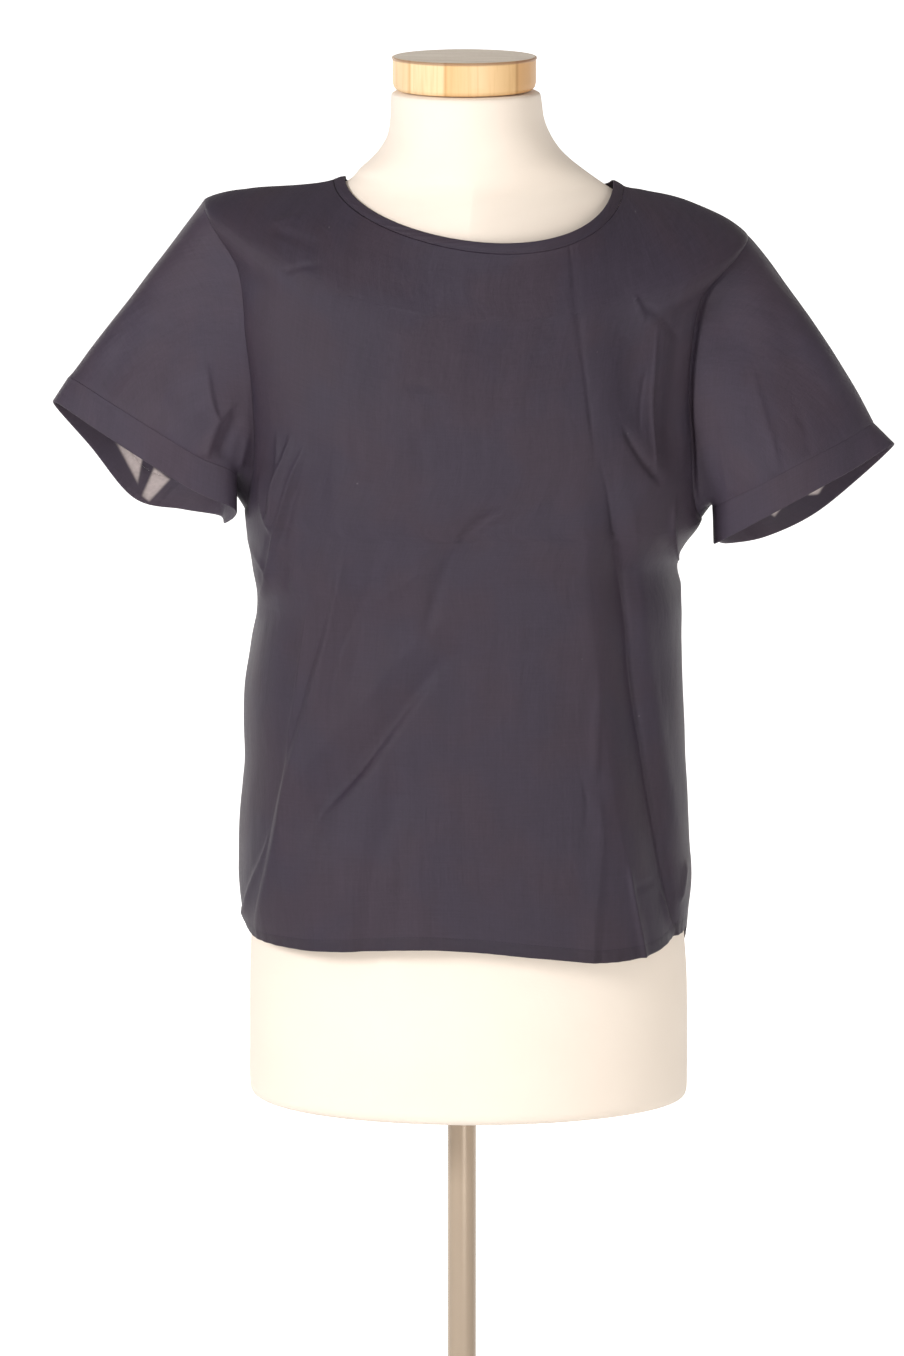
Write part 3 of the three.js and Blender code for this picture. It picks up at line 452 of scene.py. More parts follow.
BACK_CREASES = (
    Crease("yoke pull left", ((150, 1330), (118, 1290), (92, 1240)), half=(4, 5), height=(0.9, 1.4)),
    Crease("yoke pull right", ((-146, 1345), (-122, 1300), (-104, 1236)),
           half=(4, 5), height=(1.0, 1.2)),
    Crease("underarm pull left", ((178, 1170), (150, 1138), (118, 1085), (104, 1030)),
           half=(3.2, 5), height=(2.0, 1.2), crisp=1.6),
    Crease("underarm pull right", ((-172, 1180), (-150, 1150), (-128, 1098), (-118, 1040)),
           half=(3.2, 5), height=(2.0, 1.3), crisp=1.6),
    Crease("underarm fan", ((-176, 1150), (-158, 1120), (-146, 1080)),
           half=(2.8, 3.4), height=(1.5, 1.0)),
    Crease("small of back", ((-58, 1046), (-20, 1026), (26, 1030), (58, 1048)),
           half=(6, 6), height=(-1.4, -1.2)),
    Crease("waist slant", ((64, 1075), (30, 1040), (-14, 1012)), half=(3.6, 4.4), height=(1.2, 1.0)),
    Crease("long drop left", ((92, 1080), (104, 1010), (112, 930), (124, 850), (132, 785)),
           half=(4, 6), height=(0.8, 2.2), lean=1.2, crisp=1.7, ends=(0.3, 0)),
    Crease("long drop middle", ((20, 1020), (12, 950), (-4, 870), (-12, 785)),
           half=(7, 9), height=(0.7, 1.9), ends=(0.35, 0)),
    Crease("long drop right", ((-84, 1070), (-98, 1000), (-108, 920), (-122, 845), (-130, 785)),
           half=(4, 6), height=(0.9, 2.4), lean=0.85, crisp=1.7, ends=(0.3, 0)),
    Crease("hem dip left", ((62, 900), (66, 840), (70, 785)),
           half=(8, 10), height=(-0.8, -1.8), ends=(0.35, 0)),
    Crease("hem dip right", ((-56, 930), (-62, 860), (-66, 785)),
           half=(8, 10), height=(-0.8, -1.9), ends=(0.35, 0)),
    Crease("side corner", ((150, 880), (160, 835), (168, 785)),
           half=(3, 4), height=(1.2, 2.0), ends=(0.3, 0)),
    Crease("neck ease", ((24, 1392), (28, 1372), (30, 1350)),
           half=(2.4, 3), height=(-0.8, -0.6), ends=(0, 0.4)),
)
SLEEVE_CREASES = {
    (Side.RIGHT, Half.FRONT): (
        Crease("underarm fold", ((-207, 1268), (-204, 1258), (-201, 1237), (-196, 1218)),
               half=(3.4, 3.0), height=(1.2, 2.6), lean=0.6, crisp=1.4, ends=(0.4, 0.1)),
        Crease("underarm cut", ((-176, 1240), (-186, 1228), (-196, 1215), (-207, 1184)),
               half=(3.0, 3.6), height=(1.4, 2.8), lean=0.7, crisp=1.4, ends=(0.3, 0.1)),
        Crease("dark facet", ((-178, 1226), (-186, 1209), (-196, 1186)),
               half=(5, 6), height=(-2.4, -3.0)),
        Crease("light facet", ((-172, 1206), (-176, 1190), (-180, 1176)),
               half=(3.4, 3.6), height=(1.6, 1.6)),
        Crease("cap facet", ((-204, 1386), (-198, 1375), (-190, 1369), (-178, 1365)),
               half=(3, 3), height=(-1.6, -1.2)),
        Crease("long sleeve swell", ((-246, 1318), (-252, 1270), (-246, 1216)),
               half=(13, 11), height=(0.8, 1.0)),
        Crease("long sleeve dip", ((-220, 1322), (-227, 1270), (-226, 1214)),
               half=(9, 10), height=(-0.8, -0.9)),
        Crease("outer dip", ((-262, 1300), (-276, 1262), (-284, 1232)),
               half=(7, 8), height=(-0.8, -1.0)),
    ),
    (Side.LEFT, Half.FRONT): (
        Crease("cap facet", ((202, 1370), (209, 1352), (201, 1330)),
               half=(4, 4), height=(1.6, 1.6), crisp=1.5),
        Crease("sleeve bend", ((224, 1262), (234, 1228), (243, 1197), (249, 1170)),
               half=(3.4, 4.2), height=(0.9, 1.5), lean=0.6, crisp=1.4),
        Crease("inner line", ((196, 1222), (203, 1188), (208, 1150)),
               half=(2.4, 2.8), height=(0.9, 1.0), crisp=1.4),
        Crease("long sleeve dip", ((238, 1335), (252, 1290), (266, 1232)),
               half=(11, 12), height=(-1.3, -1.4)),
        Crease("outer swell", ((268, 1320), (284, 1270), (296, 1222)),
               half=(10, 10), height=(1.2, 1.3)),
        Crease("low crush", ((262, 1226), (270, 1204), (274, 1184)), half=(4, 5), height=(-0.8, -1.0)),
    ),
    (Side.RIGHT, Half.BACK): (
        Crease("back fold", ((-200, 1330), (-226, 1260), (-240, 1176)), half=(5, 7), height=(1.2, 2.0)),
        Crease("back dip", ((-180, 1290), (-205, 1235), (-214, 1165)),
               half=(6, 7), height=(-1.4, -1.8)),
        Crease("back crush", ((-262, 1252), (-262, 1205), (-250, 1168)),
               half=(4, 5), height=(-1.2, -1.8)),
    ),
    (Side.LEFT, Half.BACK): (
        Crease("back fold", ((214, 1320), (240, 1250), (256, 1162)), half=(5, 7), height=(1.2, 2.0)),
        Crease("back dip", ((194, 1280), (216, 1225), (228, 1150)), half=(6, 7), height=(-1.4, -1.8)),
        Crease("back crush", ((280, 1240), (282, 1200), (276, 1164)), half=(4, 5), height=(-1.2, -1.6)),
    ),
}


# The thinnest places of the single layers behind the sleeves' openings, which the light
# behind shines through, as clockwise corners of (x, z) seen along Y.
THIN_PLACES = (
    ((-281, 1184), (-260, 1170), (-264, 1149)),
    ((-251, 1162), (-238, 1152), (-255, 1134), (-261, 1139)),
    ((273, 1150), (289, 1150), (284, 1141), (276, 1140)),
    ((240, 1128), (255, 1130), (249, 1122)),
)


def creased(creases: Sequence[Crease], points: np.ndarray) -> np.ndarray:
    """Sum of the creases at points in millimetres, outwards."""
    LOG.info("creases: %s", ", ".join(crease.name for crease in creases))
    return sum(crease.raised(points[..., 0], points[..., 2]) for crease in creases)


@dataclass(frozen=True)
class Unevenness:
    """Small soft waves that no worn cloth is without.

    Fields: their height and the longest one's length in millimetres, the seed of their
    lengths and ways, and how many there are.
    """

    height: float
    longest: float
    seed: int
    waves: int = 14

    def at(self, u: np.ndarray, v: np.ndarray) -> np.ndarray:
        """Height at a place on the cloth.

        Args:
            u: millimetres across the cloth.
            v: millimetres up the cloth.

        Returns:
            Millimetres outwards, shaped as u.
        """
        rng = np.random.default_rng(self.seed)
        total = np.zeros_like(u)
        for _ in range(self.waves):
            length = self.longest * rng.uniform(0.35, 1.0)
            heading, phase = rng.uniform(0, 2 * math.pi, 2)
            run = u * math.cos(heading) + v * math.sin(heading)
            total += (length / self.longest) * np.sin(2 * math.pi * run / length + phase)
        return self.height * total / math.sqrt(self.waves)

    def around(self, share: np.ndarray, v: np.ndarray) -> np.ndarray:
        """Height at a share of the way round a tube and v millimetres along it."""
        swing = 2 * math.pi * share
        return self.at(self.longest * np.cos(swing), v + self.longest * np.sin(swing))


PANEL_WAVES = {Half.FRONT: Unevenness(0.35, 95, 5), Half.BACK: Unevenness(0.35, 95, 8)}
SLEEVE_WAVES = Unevenness(0.3, 80, 21)
CUFF_WAVES = Unevenness(0.25, 60, 33)


# ---------- the worn body surface ----------
class WornBody:
    """The surface that the blouse's body takes on the form, in millimetres."""

    def form(self, angle: np.ndarray, s: np.ndarray) -> np.ndarray:
        """The body without its folds.

        Args:
            angle: degrees round it, from +X; 270 is the front.
            s: millimetres up the cloth.

        Returns:
            The point.
        """
        a = np.radians(angle)
        c, f = np.cos(a), np.sin(a)
        front = f < 0
        power = 2 / (LEVELS.at("n", s) + 0.3 * (1 - smooth((s - 330) / 120)))
        xl, xr = LEVELS.at("xl", s), LEVELS.at("xr", s)
        skew = np.where(front, NECK_SKEW * smooth((s - UNDERARM) / (NECK_EDGE - UNDERARM)), 0.0)
        x = (xl + xr) / 2 + (xr - xl) / 2 * np.sign(c) * np.abs(c) ** power + skew * f * f
        y = np.where(front, LEVELS.at("yf", s), LEVELS.at("yb", s)) * np.abs(f) ** power
        z = self.level(a, s)
        ring = self.level(a, np.zeros_like(s))
        hem = HEM_LINE.at("z", np.mod(angle, 360.0))
        z = z + (hem - ring) * (1 - smooth(s / HEM_REACH))
        return np.stack(np.broadcast_arrays(x, y, z), -1)

    def level(self, a: np.ndarray, s: np.ndarray) -> np.ndarray:
        """Height of a level, before the hem line.

        Args:
            a: radians round the body.
            s: millimetres up the cloth.

        Returns:
            The height.
        """
        c, f = np.cos(a), np.sin(a)
        side = (LEVELS.at("zr", s) * (1 + c) + LEVELS.at("zl", s) * (1 - c)) / 2
        middle = np.where(f < 0, LEVELS.at("zf", s), LEVELS.at("zb", s))
        return side + (middle - side) * np.abs(f) ** LEVELS.at("fall", s)

    def broad(self, half: Half, x: np.ndarray, z: np.ndarray) -> np.ndarray:
        """Height of the broad folds.

        Args:
            half: whose folds.
            x: across, in millimetres.
            z: up, in millimetres.

        Returns:
            Millimetres outwards, shaped as x.
        """
        total = np.zeros_like(x)
        for x1, z1, x2, z2, bow, width, height in BROAD_FOLDS[half]:
            dx, dz = x2 - x1, z2 - z1
            length = math.hypot(dx, dz)
            t = ((x - x1) * dx + (z - z1) * dz) / length**2
            off = ((x - x1) * dz - (z - z1) * dx) / length
            bend = bow * 4 * np.clip(t, 0, 1) * (1 - np.clip(t, 0, 1))
            ends = smooth((t + 0.12) / 0.24) * smooth((1.12 - t) / 0.24)
            total += 0.85 * height * np.exp(-(np.abs((off - bend) / width) ** 1.3)) * ends
        return total

    def normals(self, surface: Surface, angle: np.ndarray, s: np.ndarray) -> np.ndarray:
        """Unit normals of a surface of this body.

        Args:
            surface: one of this body's surfaces.
            angle: degrees round it.
            s: millimetres up the cloth.

        Returns:
            The normals, outwards.
        """
        low, high = np.maximum(0.0, s - 2), np.minimum(NECK_EDGE, s + 2)
        around = surface(angle + 0.6, s) - surface(angle - 0.6, s)
        return unit(np.cross(around, surface(angle, high) - surface(angle, low)))

    def surface(self, angle: np.ndarray, s: np.ndarray) -> np.ndarray:
        """The body with its broad folds.

        Args:
            angle: degrees round it.
            s: millimetres up the cloth.

        Returns:
            The point.
        """
        angle, s = np.broadcast_arrays(np.asarray(angle, float), np.asarray(s, float))
        p = self.form(angle, s)
        f = np.sin(np.radians(angle))
        height = np.where(
            f < 0,
            self.broad(Half.FRONT, p[..., 0], p[..., 2]),
            self.broad(Half.BACK, p[..., 0], p[..., 2]),
        )
        lift = height * smooth(np.abs(f) / 0.35)
        return p + lift[..., None] * self.normals(self.form, angle, s)

    def neck_edge(self, angle: np.ndarray) -> np.ndarray:
        """The level of the neck's edge, a little lower behind the shoulders.

        Args:
            angle: degrees round the body.

        Returns:
            The level at each angle.
        """
        edge = np.full_like(angle, NECK_EDGE)
        behind = self.surface(angle, edge)[..., 1]
        return edge - BACK_DIP * smooth((behind - behind.max() * 0.1) / (behind.max() * 0.45))

    def binding_start(self, angle: np.ndarray) -> np.ndarray:
        """The level at which the neck binding starts, for one width all round.

        Args:
            angle: degrees round the body.

        Returns:
            The level at each angle.
        """
        edge = self.neck_edge(angle)
        step = np.linalg.norm(self.surface(angle, edge) - self.surface(angle, edge - 4), axis=-1) / 4
        return edge - BINDING_DEPTH / step


BODY = WornBody()


# ---------- meshes ----------
def placed(name: str, data: bpy.types.ID) -> bpy.types.Object:
    """Put a new object in the scene, at the origin.

    Args:
        name: the object's name.
        data: the mesh, light or camera that it shows.

    Returns:
        The object.
    """
    made = bpy.data.objects.new(name, data)
    bpy.context.scene.collection.objects.link(made)
    return made


def mesh_object(
    name: str, points: np.ndarray, faces: Sequence[np.ndarray], uv: Optional[np.ndarray] = None
) -> bpy.types.Object:
    """A closed smooth mesh as an object at the origin, its faces outwards.

    Args:
        name: the piece's name.
        points: corners in millimetres.
        faces: arrays of corner numbers, one array for each face size.
        uv: a place on the cloth in metres for each face corner, in the order of faces.

    Returns:
        The new object.
    """
    volume = 0.0
    for block in faces:
        for k in range(1, block.shape[1] - 1):
            a, b, c = points[block[:, 0]], points[block[:, k]], points[block[:, k + 1]]
            volume += float((a * np.cross(b, c)).sum())
    if volume < 0:
        if uv is not None:
            turned_uv, start = [], 0
            for block in faces:
                part = uv[start:start + block.size].reshape(*block.shape, 2)
                turned_uv.append(part[:, ::-1].reshape(-1, 2))
                start += block.size
            uv = np.vstack(turned_uv)
        faces = [block[:, ::-1] for block in faces]
    corners = np.concatenate([block.ravel() for block in faces]).astype(np.int32)
    sizes = np.concatenate([np.full(len(block), block.shape[1]) for block in faces])
    starts = np.concatenate([[0], np.cumsum(sizes)[:-1]]).astype(np.int32)
    mesh = bpy.data.meshes.new(name)
    mesh.vertices.add(len(points))
    mesh.vertices.foreach_set("co", (points * MM).astype(np.float32).ravel())
    mesh.loops.add(len(corners))
    mesh.loops.foreach_set("vertex_index", corners)
    mesh.polygons.add(len(sizes))
    mesh.polygons.foreach_set("loop_start", starts)
    mesh.polygons.foreach_set("use_smooth", np.ones(len(sizes), bool))
    if uv is not None:
        mesh.uv_layers.new(name="cloth").data.foreach_set("uv", uv.astype(np.float32).ravel())
    mesh.update(calc_edges=True)
    return placed(name, mesh)


def wall(
    name: str,
    middle: np.ndarray,
    across: np.ndarray,
    out: np.ndarray,
    into: np.ndarray,
    closed: bool,
    uv: np.ndarray,
) -> bpy.types.Object:
    """A cloth wall: a fine outer face and an inner face of half as many rows and columns.

    Args:
        name: the piece's name.
        middle: rows and columns of points, both one more than an even number; a closed
            wall repeats its first column at its end.
        across: unit vectors through the cloth at those points.
        out: millimetres to the outer face.
        into: millimetres to the inner face.
        closed: whether the columns go all the way round.
        uv: a place on the cloth in metres at each point.

    Returns:
        The wall as one closed mesh.
    """
    rows, columns = middle.shape[:2]
    outer = middle + across * out[..., None]
    inner = (middle - across * into[..., None])[::2, ::2]
    fine = np.arange(rows * columns).reshape(rows, columns)
    coarse = rows * columns + np.arange(inner.shape[0] * inner.shape[1]).reshape(inner.shape[:2])

    def quads(grid: np.ndarray) -> np.ndarray:
        """The squares of a grid of corner numbers."""
        sides = (grid[:-1, :-1], grid[:-1, 1:], grid[1:, 1:], grid[1:, :-1])
        return np.stack(sides, -1).reshape(-1, 4)

    def rim(edge: np.ndarray, inside: np.ndarray) -> tuple[np.ndarray, np.ndarray]:
        """Faces between a fine edge and its coarse inner edge.

        Args:
            edge: the fine edge's corner numbers.
            inside: the coarse edge's, one for each two.

        Returns:
            Triangles and squares.
        """
        a, b, c = edge[:-2:2], edge[1:-1:2], edge[2::2]
        d, e = inside[:-1], inside[1:]
        return np.stack([a, d, b], -1), np.stack([b, d, e, c], -1)

    edges = [(fine[0], coarse[0]), (fine[-1][::-1], coarse[-1][::-1])]
    if not closed:
        edges += [(fine[::-1, 0], coarse[::-1, 0]), (fine[:, -1], coarse[:, -1])]
    rims = [rim(*edge) for edge in edges]
    squares = np.vstack([quads(fine), quads(coarse)[:, ::-1], *[square for _, square in rims]])
    triangles = np.vstack([triangle for triangle, _ in rims])
    places = np.vstack([uv.reshape(-1, 2), uv[::2, ::2].reshape(-1, 2)])
    corner_uv = np.vstack([places[squares.ravel()], places[triangles.ravel()]])
    points = np.vstack([outer.reshape(-1, 3), inner.reshape(-1, 3)])
    if closed:
        number = np.arange(len(points))
        number[fine[:, -1]] = fine[:, 0]
        number[coarse[:, -1]] = coarse[:, 0]
        kept, compact = np.unique(number, return_inverse=True)
        squares, triangles, points = compact[squares], compact[triangles], points[kept]
    return mesh_object(name, points, [squares, triangles], corner_uv)


def lengths_along(points: np.ndarray, axis: int) -> np.ndarray:
    """Distance travelled along one axis of a grid of points.

    Args:
        points: the grid.
        axis: the axis to travel along.

    Returns:
        The distance at each point, from zero.
    """
    steps = np.linalg.norm(np.diff(points, axis=axis), axis=-1)
    pad = [(0, 0)] * steps.ndim
    pad[axis] = (1, 0)
    return np.cumsum(np.pad(steps, pad), axis=axis)


def stacked(name: str, rings: np.ndarray, uv: Optional[np.ndarray] = None) -> bpy.types.Object:
    """A closed solid of stacked rings, with a fan at each end.

    Args:
        name: the piece's name.
        rings: rows of ring points in millimetres, from the lowest up.
        uv: a place on the surface in metres at each ring point, with one more column.

    Returns:
        The solid.
    """
    rows, columns = rings.shape[:2]
    grid = np.arange(rows * columns).reshape(rows, columns)
    grid = np.hstack([grid, grid[:, :1]])
    low, high = rows * columns, rows * columns + 1
    squares = np.stack([grid[:-1, :-1], grid[:-1, 1:], grid[1:, 1:], grid[1:, :-1]], -1).reshape(-1, 4)
    bottom = np.stack([grid[0, 1:], grid[0, :-1], np.full(columns, low)], -1)
    top = np.stack([grid[-1, :-1], grid[-1, 1:], np.full(columns, high)], -1)
    points = np.vstack([rings.reshape(-1, 3), rings[0].mean(0), rings[-1].mean(0)])
    corner_uv = None
    if uv is not None:
        sides = np.stack([uv[:-1, :-1], uv[:-1, 1:], uv[1:, 1:], uv[1:, :-1]], 2).reshape(-1, 2)
        fans = [np.repeat(uv[row].mean(0)[None], 3 * columns, 0) for row in (0, -1)]
        corner_uv = np.vstack([sides, *fans])
    return mesh_object(name, points, [squares, np.vstack([bottom, top])], corner_uv)


def rounded(profile: Sequence[tuple[float, float]], radius: float, steps: int = 6) -> np.ndarray:
    """A profile with its inner corners rounded.

    Args:
        profile: (radius, height) corners in millimetres.
        radius: how far along each side a corner is cut back, at most.
        steps: points on each rounded corner.

    Returns:
        The finer profile.
    """
    corners = np.array(profile, float)
    line = [corners[0]]
    for before, corner, after in zip(corners, corners[1:], corners[2:]):
        back = min(radius, np.linalg.norm(before - corner) * 0.45)
        ahead = min(radius, np.linalg.norm(after - corner) * 0.45)
        start = corner + unit(before - corner) * back
        end = corner + unit(after - corner) * ahead
        for t in np.linspace(0, 1, steps):
            line.append((1 - t) ** 2 * start + 2 * t * (1 - t) * corner + t**2 * end)
    return np.array([*line, corners[-1]])


def turned(name: str, profile: np.ndarray, middle_x: float, columns: int) -> bpy.types.Object:
    """A solid turned about an upright axis.

    Args:
        name: the piece's name.
        profile: (radius, height) points in millimetres, from the lowest middle up.
        middle_x: where the axis stands.
        columns: corners round it.

    Returns:
        The solid.
    """
    turn = np.linspace(0, 2 * math.pi, columns, endpoint=False)
    radius, height = profile[:, :1], profile[:, 1:]
    x, y = middle_x + radius * np.cos(turn), radius * np.sin(turn)
    return stacked(name, np.stack([x, y, height + 0 * turn], -1))


# ---------- shader graphs ----------
@dataclass(frozen=True)
class Wire:
    """A node's socket that adds its own Math nodes when it is used in arithmetic."""

    graph: "Graph"
    socket: bpy.types.NodeSocket

    def math(self, operation: str, *values: Any) -> "Wire":
        """One Math node on these values."""
        inputs = dict(enumerate(values))
        return self.graph.node("ShaderNodeMath", {"operation": operation}, inputs)

    def __add__(self, other: Any) -> "Wire":
        """Sum."""
        return self.math("ADD", self, other)

    def __radd__(self, other: Any) -> "Wire":
        """Sum, reflected."""
        return self.math("ADD", other, self)

    def __sub__(self, other: Any) -> "Wire":
        """Difference."""
        return self.math("SUBTRACT", self, other)

    def __rsub__(self, other: Any) -> "Wire":
        """Difference, reflected."""
        return self.math("SUBTRACT", other, self)

    def __mul__(self, other: Any) -> "Wire":
        """Product."""
        return self.math("MULTIPLY", self, other)

    def __rmul__(self, other: Any) -> "Wire":
        """Product, reflected."""
        return self.math("MULTIPLY", other, self)

    def __truediv__(self, other: Any) -> "Wire":
        """Quotient."""
        return self.math("DIVIDE", self, other)

    def __pow__(self, other: Any) -> "Wire":
        """Power."""
        return self.math("POWER", self, other)

    def __gt__(self, other: Any) -> "Wire":
        """One where this is the greater, otherwise zero."""
        return self.math("GREATER_THAN", self, other)

    def sine(self) -> "Wire":
        """Sine."""
        return self.math("SINE", self)

    def between(self, low: float, high: float) -> "Wire":
        """Rise smoothly from 0 to 1, held outside.

        Args:
            low: where it is still 0.
            high: where it is 1.

        Returns:
            The rise.
        """
        settings = {"interpolation_type": "SMOOTHSTEP"}
        inputs = {"Value": self, "From Min": low, "From Max": high}
        return self.graph.node("ShaderNodeMapRange", settings, inputs)


class Graph:
    """The node tree of a material, of the world or of a Geometry Nodes modifier."""

    def __init__(self, owner: Union[bpy.types.Material, bpy.types.World, bpy.types.NodeTree]) -> None:
        """Start an empty tree.

        Args:
            owner: what holds the tree, or the tree itself.
        """
        self.owner = owner
        if isinstance(owner, bpy.types.NodeTree):
            self.tree = owner
        else:
            owner.use_nodes = True
            self.tree = owner.node_tree
        self.tree.nodes.clear()

    @classmethod
    def of_material(cls, name: str) -> "Graph":
        """The empty tree of a new material."""
        return cls(bpy.data.materials.new(name))

    def node(
        self,
        kind: str,
        settings: Optional[dict[str, Any]] = None,
        inputs: Optional[dict[Union[str, int], Any]] = None,
        output: Union[str, int] = 0,
    ) -> Wire:
        """Add a node and return one of its outputs.

        Args:
            kind: the node's type.
            settings: its properties, and a ramp's stops, which are set first.
            inputs: values or links of its sockets.
            output: which output to hand back.

        Returns:
            The output as a wire.
        """
        made = self.tree.nodes.new(kind)
        for key, value in (settings or {}).items():
            if key == "stops":
                ramp = made.color_ramp
                while len(ramp.elements) < len(value):
                    ramp.elements.new(1.0)
                for element, (place, colour) in zip(ramp.elements, value):
                    element.position = place
                    element.color = (*colour, 1.0)
            else:
                setattr(made, key, value)
        for key, value in (inputs or {}).items():
            if isinstance(value, Wire):
                self.tree.links.new(value.socket, made.inputs[key])
            elif isinstance(value, tuple) and made.inputs[key].type == "RGBA":
                made.inputs[key].default_value = (*value, 1.0)
            else:
                made.inputs[key].default_value = value
        return Wire(self, made.outputs[output] if made.outputs else None)

    def outputs(self, wire: Wire) -> list[Wire]:
        """All the outputs of a wire's node."""
        return [Wire(self, socket) for socket in wire.socket.node.outputs]

    def place(self, source: str) -> Wire:
        """A coordinate: Object or UV on a piece, Generated in the world."""
        return self.node("ShaderNodeTexCoord", output=source)

    def parts(self, vector: Wire) -> list[Wire]:
        """The three numbers of a vector."""
        return self.outputs(self.node("ShaderNodeSeparateXYZ", inputs={0: vector}))

    def scaled(self, vector: Wire, scale: tuple[float, float, float]) -> Wire:
        """A coordinate stretched along its axes."""
        return self.node("ShaderNodeVectorMath", {"operation": "MULTIPLY"}, {0: vector, 1: scale})

    def noise(self, vector: Wire, scale: float, detail: float = 2.0, rough: float = 0.5) -> Wire:
        """Soft noise about one half."""
        inputs = {"Vector": vector, "Scale": scale, "Detail": detail, "Roughness": rough}
        return self.node("ShaderNodeTexNoise", None, inputs)

    def blend(self, factor: Any, first: Any, second: Any) -> Wire:
        """A mix of two colours, whose sockets stand behind those for numbers and vectors."""
        return self.node("ShaderNodeMix", {"data_type": "RGBA"}, {0: factor, 6: first, 7: second}, 2)

    def bump(self, height: Wire, distance: float, strength: float, over: Optional[Wire] = None) -> Wire:
        """A bump of a height.

        Args:
            height: the height, in units of distance.
            distance: its size in metres.
            strength: how much of it counts.
            over: another bump that it lies on.

        Returns:
            The normal.
        """
        inputs = {"Height": height, "Distance": distance, "Strength": strength}
        if over is not None:
            inputs["Normal"] = over
        return self.node("ShaderNodeBump", None, inputs)

    def principled(self, **inputs: Any) -> Wire:
        """A Principled surface; a socket's words are joined by an underscore."""
        named = {key.replace("_", " "): value for key, value in inputs.items()}
        return self.node("ShaderNodeBsdfPrincipled", None, named)

    def finish(self, surface: Wire, output: str = "ShaderNodeOutputMaterial") -> Any:
        """Join a surface to the output.

        Args:
            surface: the shader.
            output: the output node's type.

        Returns:
            The finished material or world.
        """
        self.node(output, None, {"Surface": surface})
        return self.owner


@dataclass(frozen=True)
class Poplin:
    """Fine plain-weave cotton, dark navy with a purple cast and a dull shine.

    Fields: its two dyes, its lint, the tint and share of light that passes one face,
    threads in a metre, roughness, how deep a turned-up hem is in metres and how much
    painted shade darkens it, the thin places as outlines, the depths along Y that they lie
    behind, and half the softness of their edges, in metres.
    """

    navy: Colour = (0.0394, 0.0306, 0.0460)
    plum: Colour = (0.0424, 0.0308, 0.0440)
    lint: Colour = (0.30, 0.27, 0.28)
    glow: Colour = (0.86, 0.80, 0.79)
    light_through: float = 0.08
    threads: float = 2500.0
    roughness: float = 0.51
    hem: float = 0.0
    hem_painted_shade: float = 0.16
    thin: tuple[Outline, ...] = ()
    behind: tuple[float, float] = (0.018, 0.026)
    soft: float = 0.0012

    def thinned(self, g: Graph) -> Any:
        """Mark the thin places on the back half of the sleeves.

        Args:
            g: the material's graph.

        Returns:
            One inside any of them, zero elsewhere.
        """
        x, y, z = g.parts(g.place("Object"))
        total: Any = 0.0
        for corners in self.thin:
            inside: Any = y.between(*self.behind)
            for (x1, z1), (x2, z2) in zip(corners, corners[1:] + corners[:1]):
                length = math.hypot(x2 - x1, z2 - z1)
                nx, nz = (z1 - z2) / length, (x2 - x1) / length
                away = x * nx + z * nz - (x1 * nx + z1 * nz) * MM
                inside = inside * (1 - away.between(-self.soft, self.soft))
            total = inside + total
        return total

    def material(self, name: str) -> bpy.types.Material:
        """The cloth, woven along its own UV map in metres.

        Args:
            name: the material's name.

        Returns:
            The material.
        """
        g = Graph.of_material(name)
        uv = g.place("UV")
        u, v, _ = g.parts(uv)
        pitch = 2 * math.pi * self.threads
        weave = (u * pitch).sine() * (v * pitch).sine()
        weft = g.noise(g.scaled(uv, (30.0, 700.0, 1.0)), 1.0, 3.0, 0.65)
        warp = g.noise(g.scaled(uv, (700.0, 26.0, 1.0)), 1.0, 3.0, 0.65)
        slub = weft * 0.5 + warp * 0.5
        cloud = g.noise(uv, 14.0, 3.0)
        mottle = g.noise(uv, 330.0, 2.0)
        streak = g.noise(g.scaled(uv, (62.0, 7.0, 1.0)), 1.0, 3.0, 0.6)
        base = g.blend(cloud.between(0.4, 0.6), self.navy, self.plum)
        shade = 0.31 + slub * 0.86 + mottle * 0.26 + streak * 0.26 + cloud * 0.04
        # Painted shade: the turned-up hem's band is darkened, standing for the shade of its double
        # layer.
        if self.hem:
            shade = shade * (1 - self.hem_painted_shade * (1 - v.between(self.hem - MM, self.hem)))
        toned = g.node("ShaderNodeVectorMath", {"operation": "SCALE"}, {0: base, "Scale": shade})
        speck = g.node("ShaderNodeTexVoronoi", None, {"Vector": uv, "Scale": 55.0}, "Distance")
        linty = (1 - speck.between(0.02, 0.05)) * (g.noise(uv, 31.0, 0.0) > 0.64)
        colour = g.blend(linty * 0.3, toned, self.lint)
        crumple = g.noise(g.scaled(uv, (70.0, 38.0, 1.0)), 1.0, 4.0, 0.6)
        soft = g.bump(crumple + streak * 0.6, 0.0013, 0.7)
        normal = g.bump(weave * 0.5 + slub * 1.4, 0.00007, 0.6, soft)
        rough = self.roughness + (slub - 0.5) * 0.2 + (cloud - 0.5) * 0.06
        face = g.principled(
            Base_Color=colour, Roughness=rough, Normal=normal, IOR=1.33, Specular_IOR_Level=0.4,
        )
        glow = g.node("ShaderNodeBsdfTranslucent", None, {"Color": self.glow})
        share: Any = self.light_through
        if self.thin:
            share = share + self.thinned(g) * (0.5 + mottle * 0.35)
        return g.finish(g.node("ShaderNodeMixShader", None, {0: share, 1: face, 2: glow}))


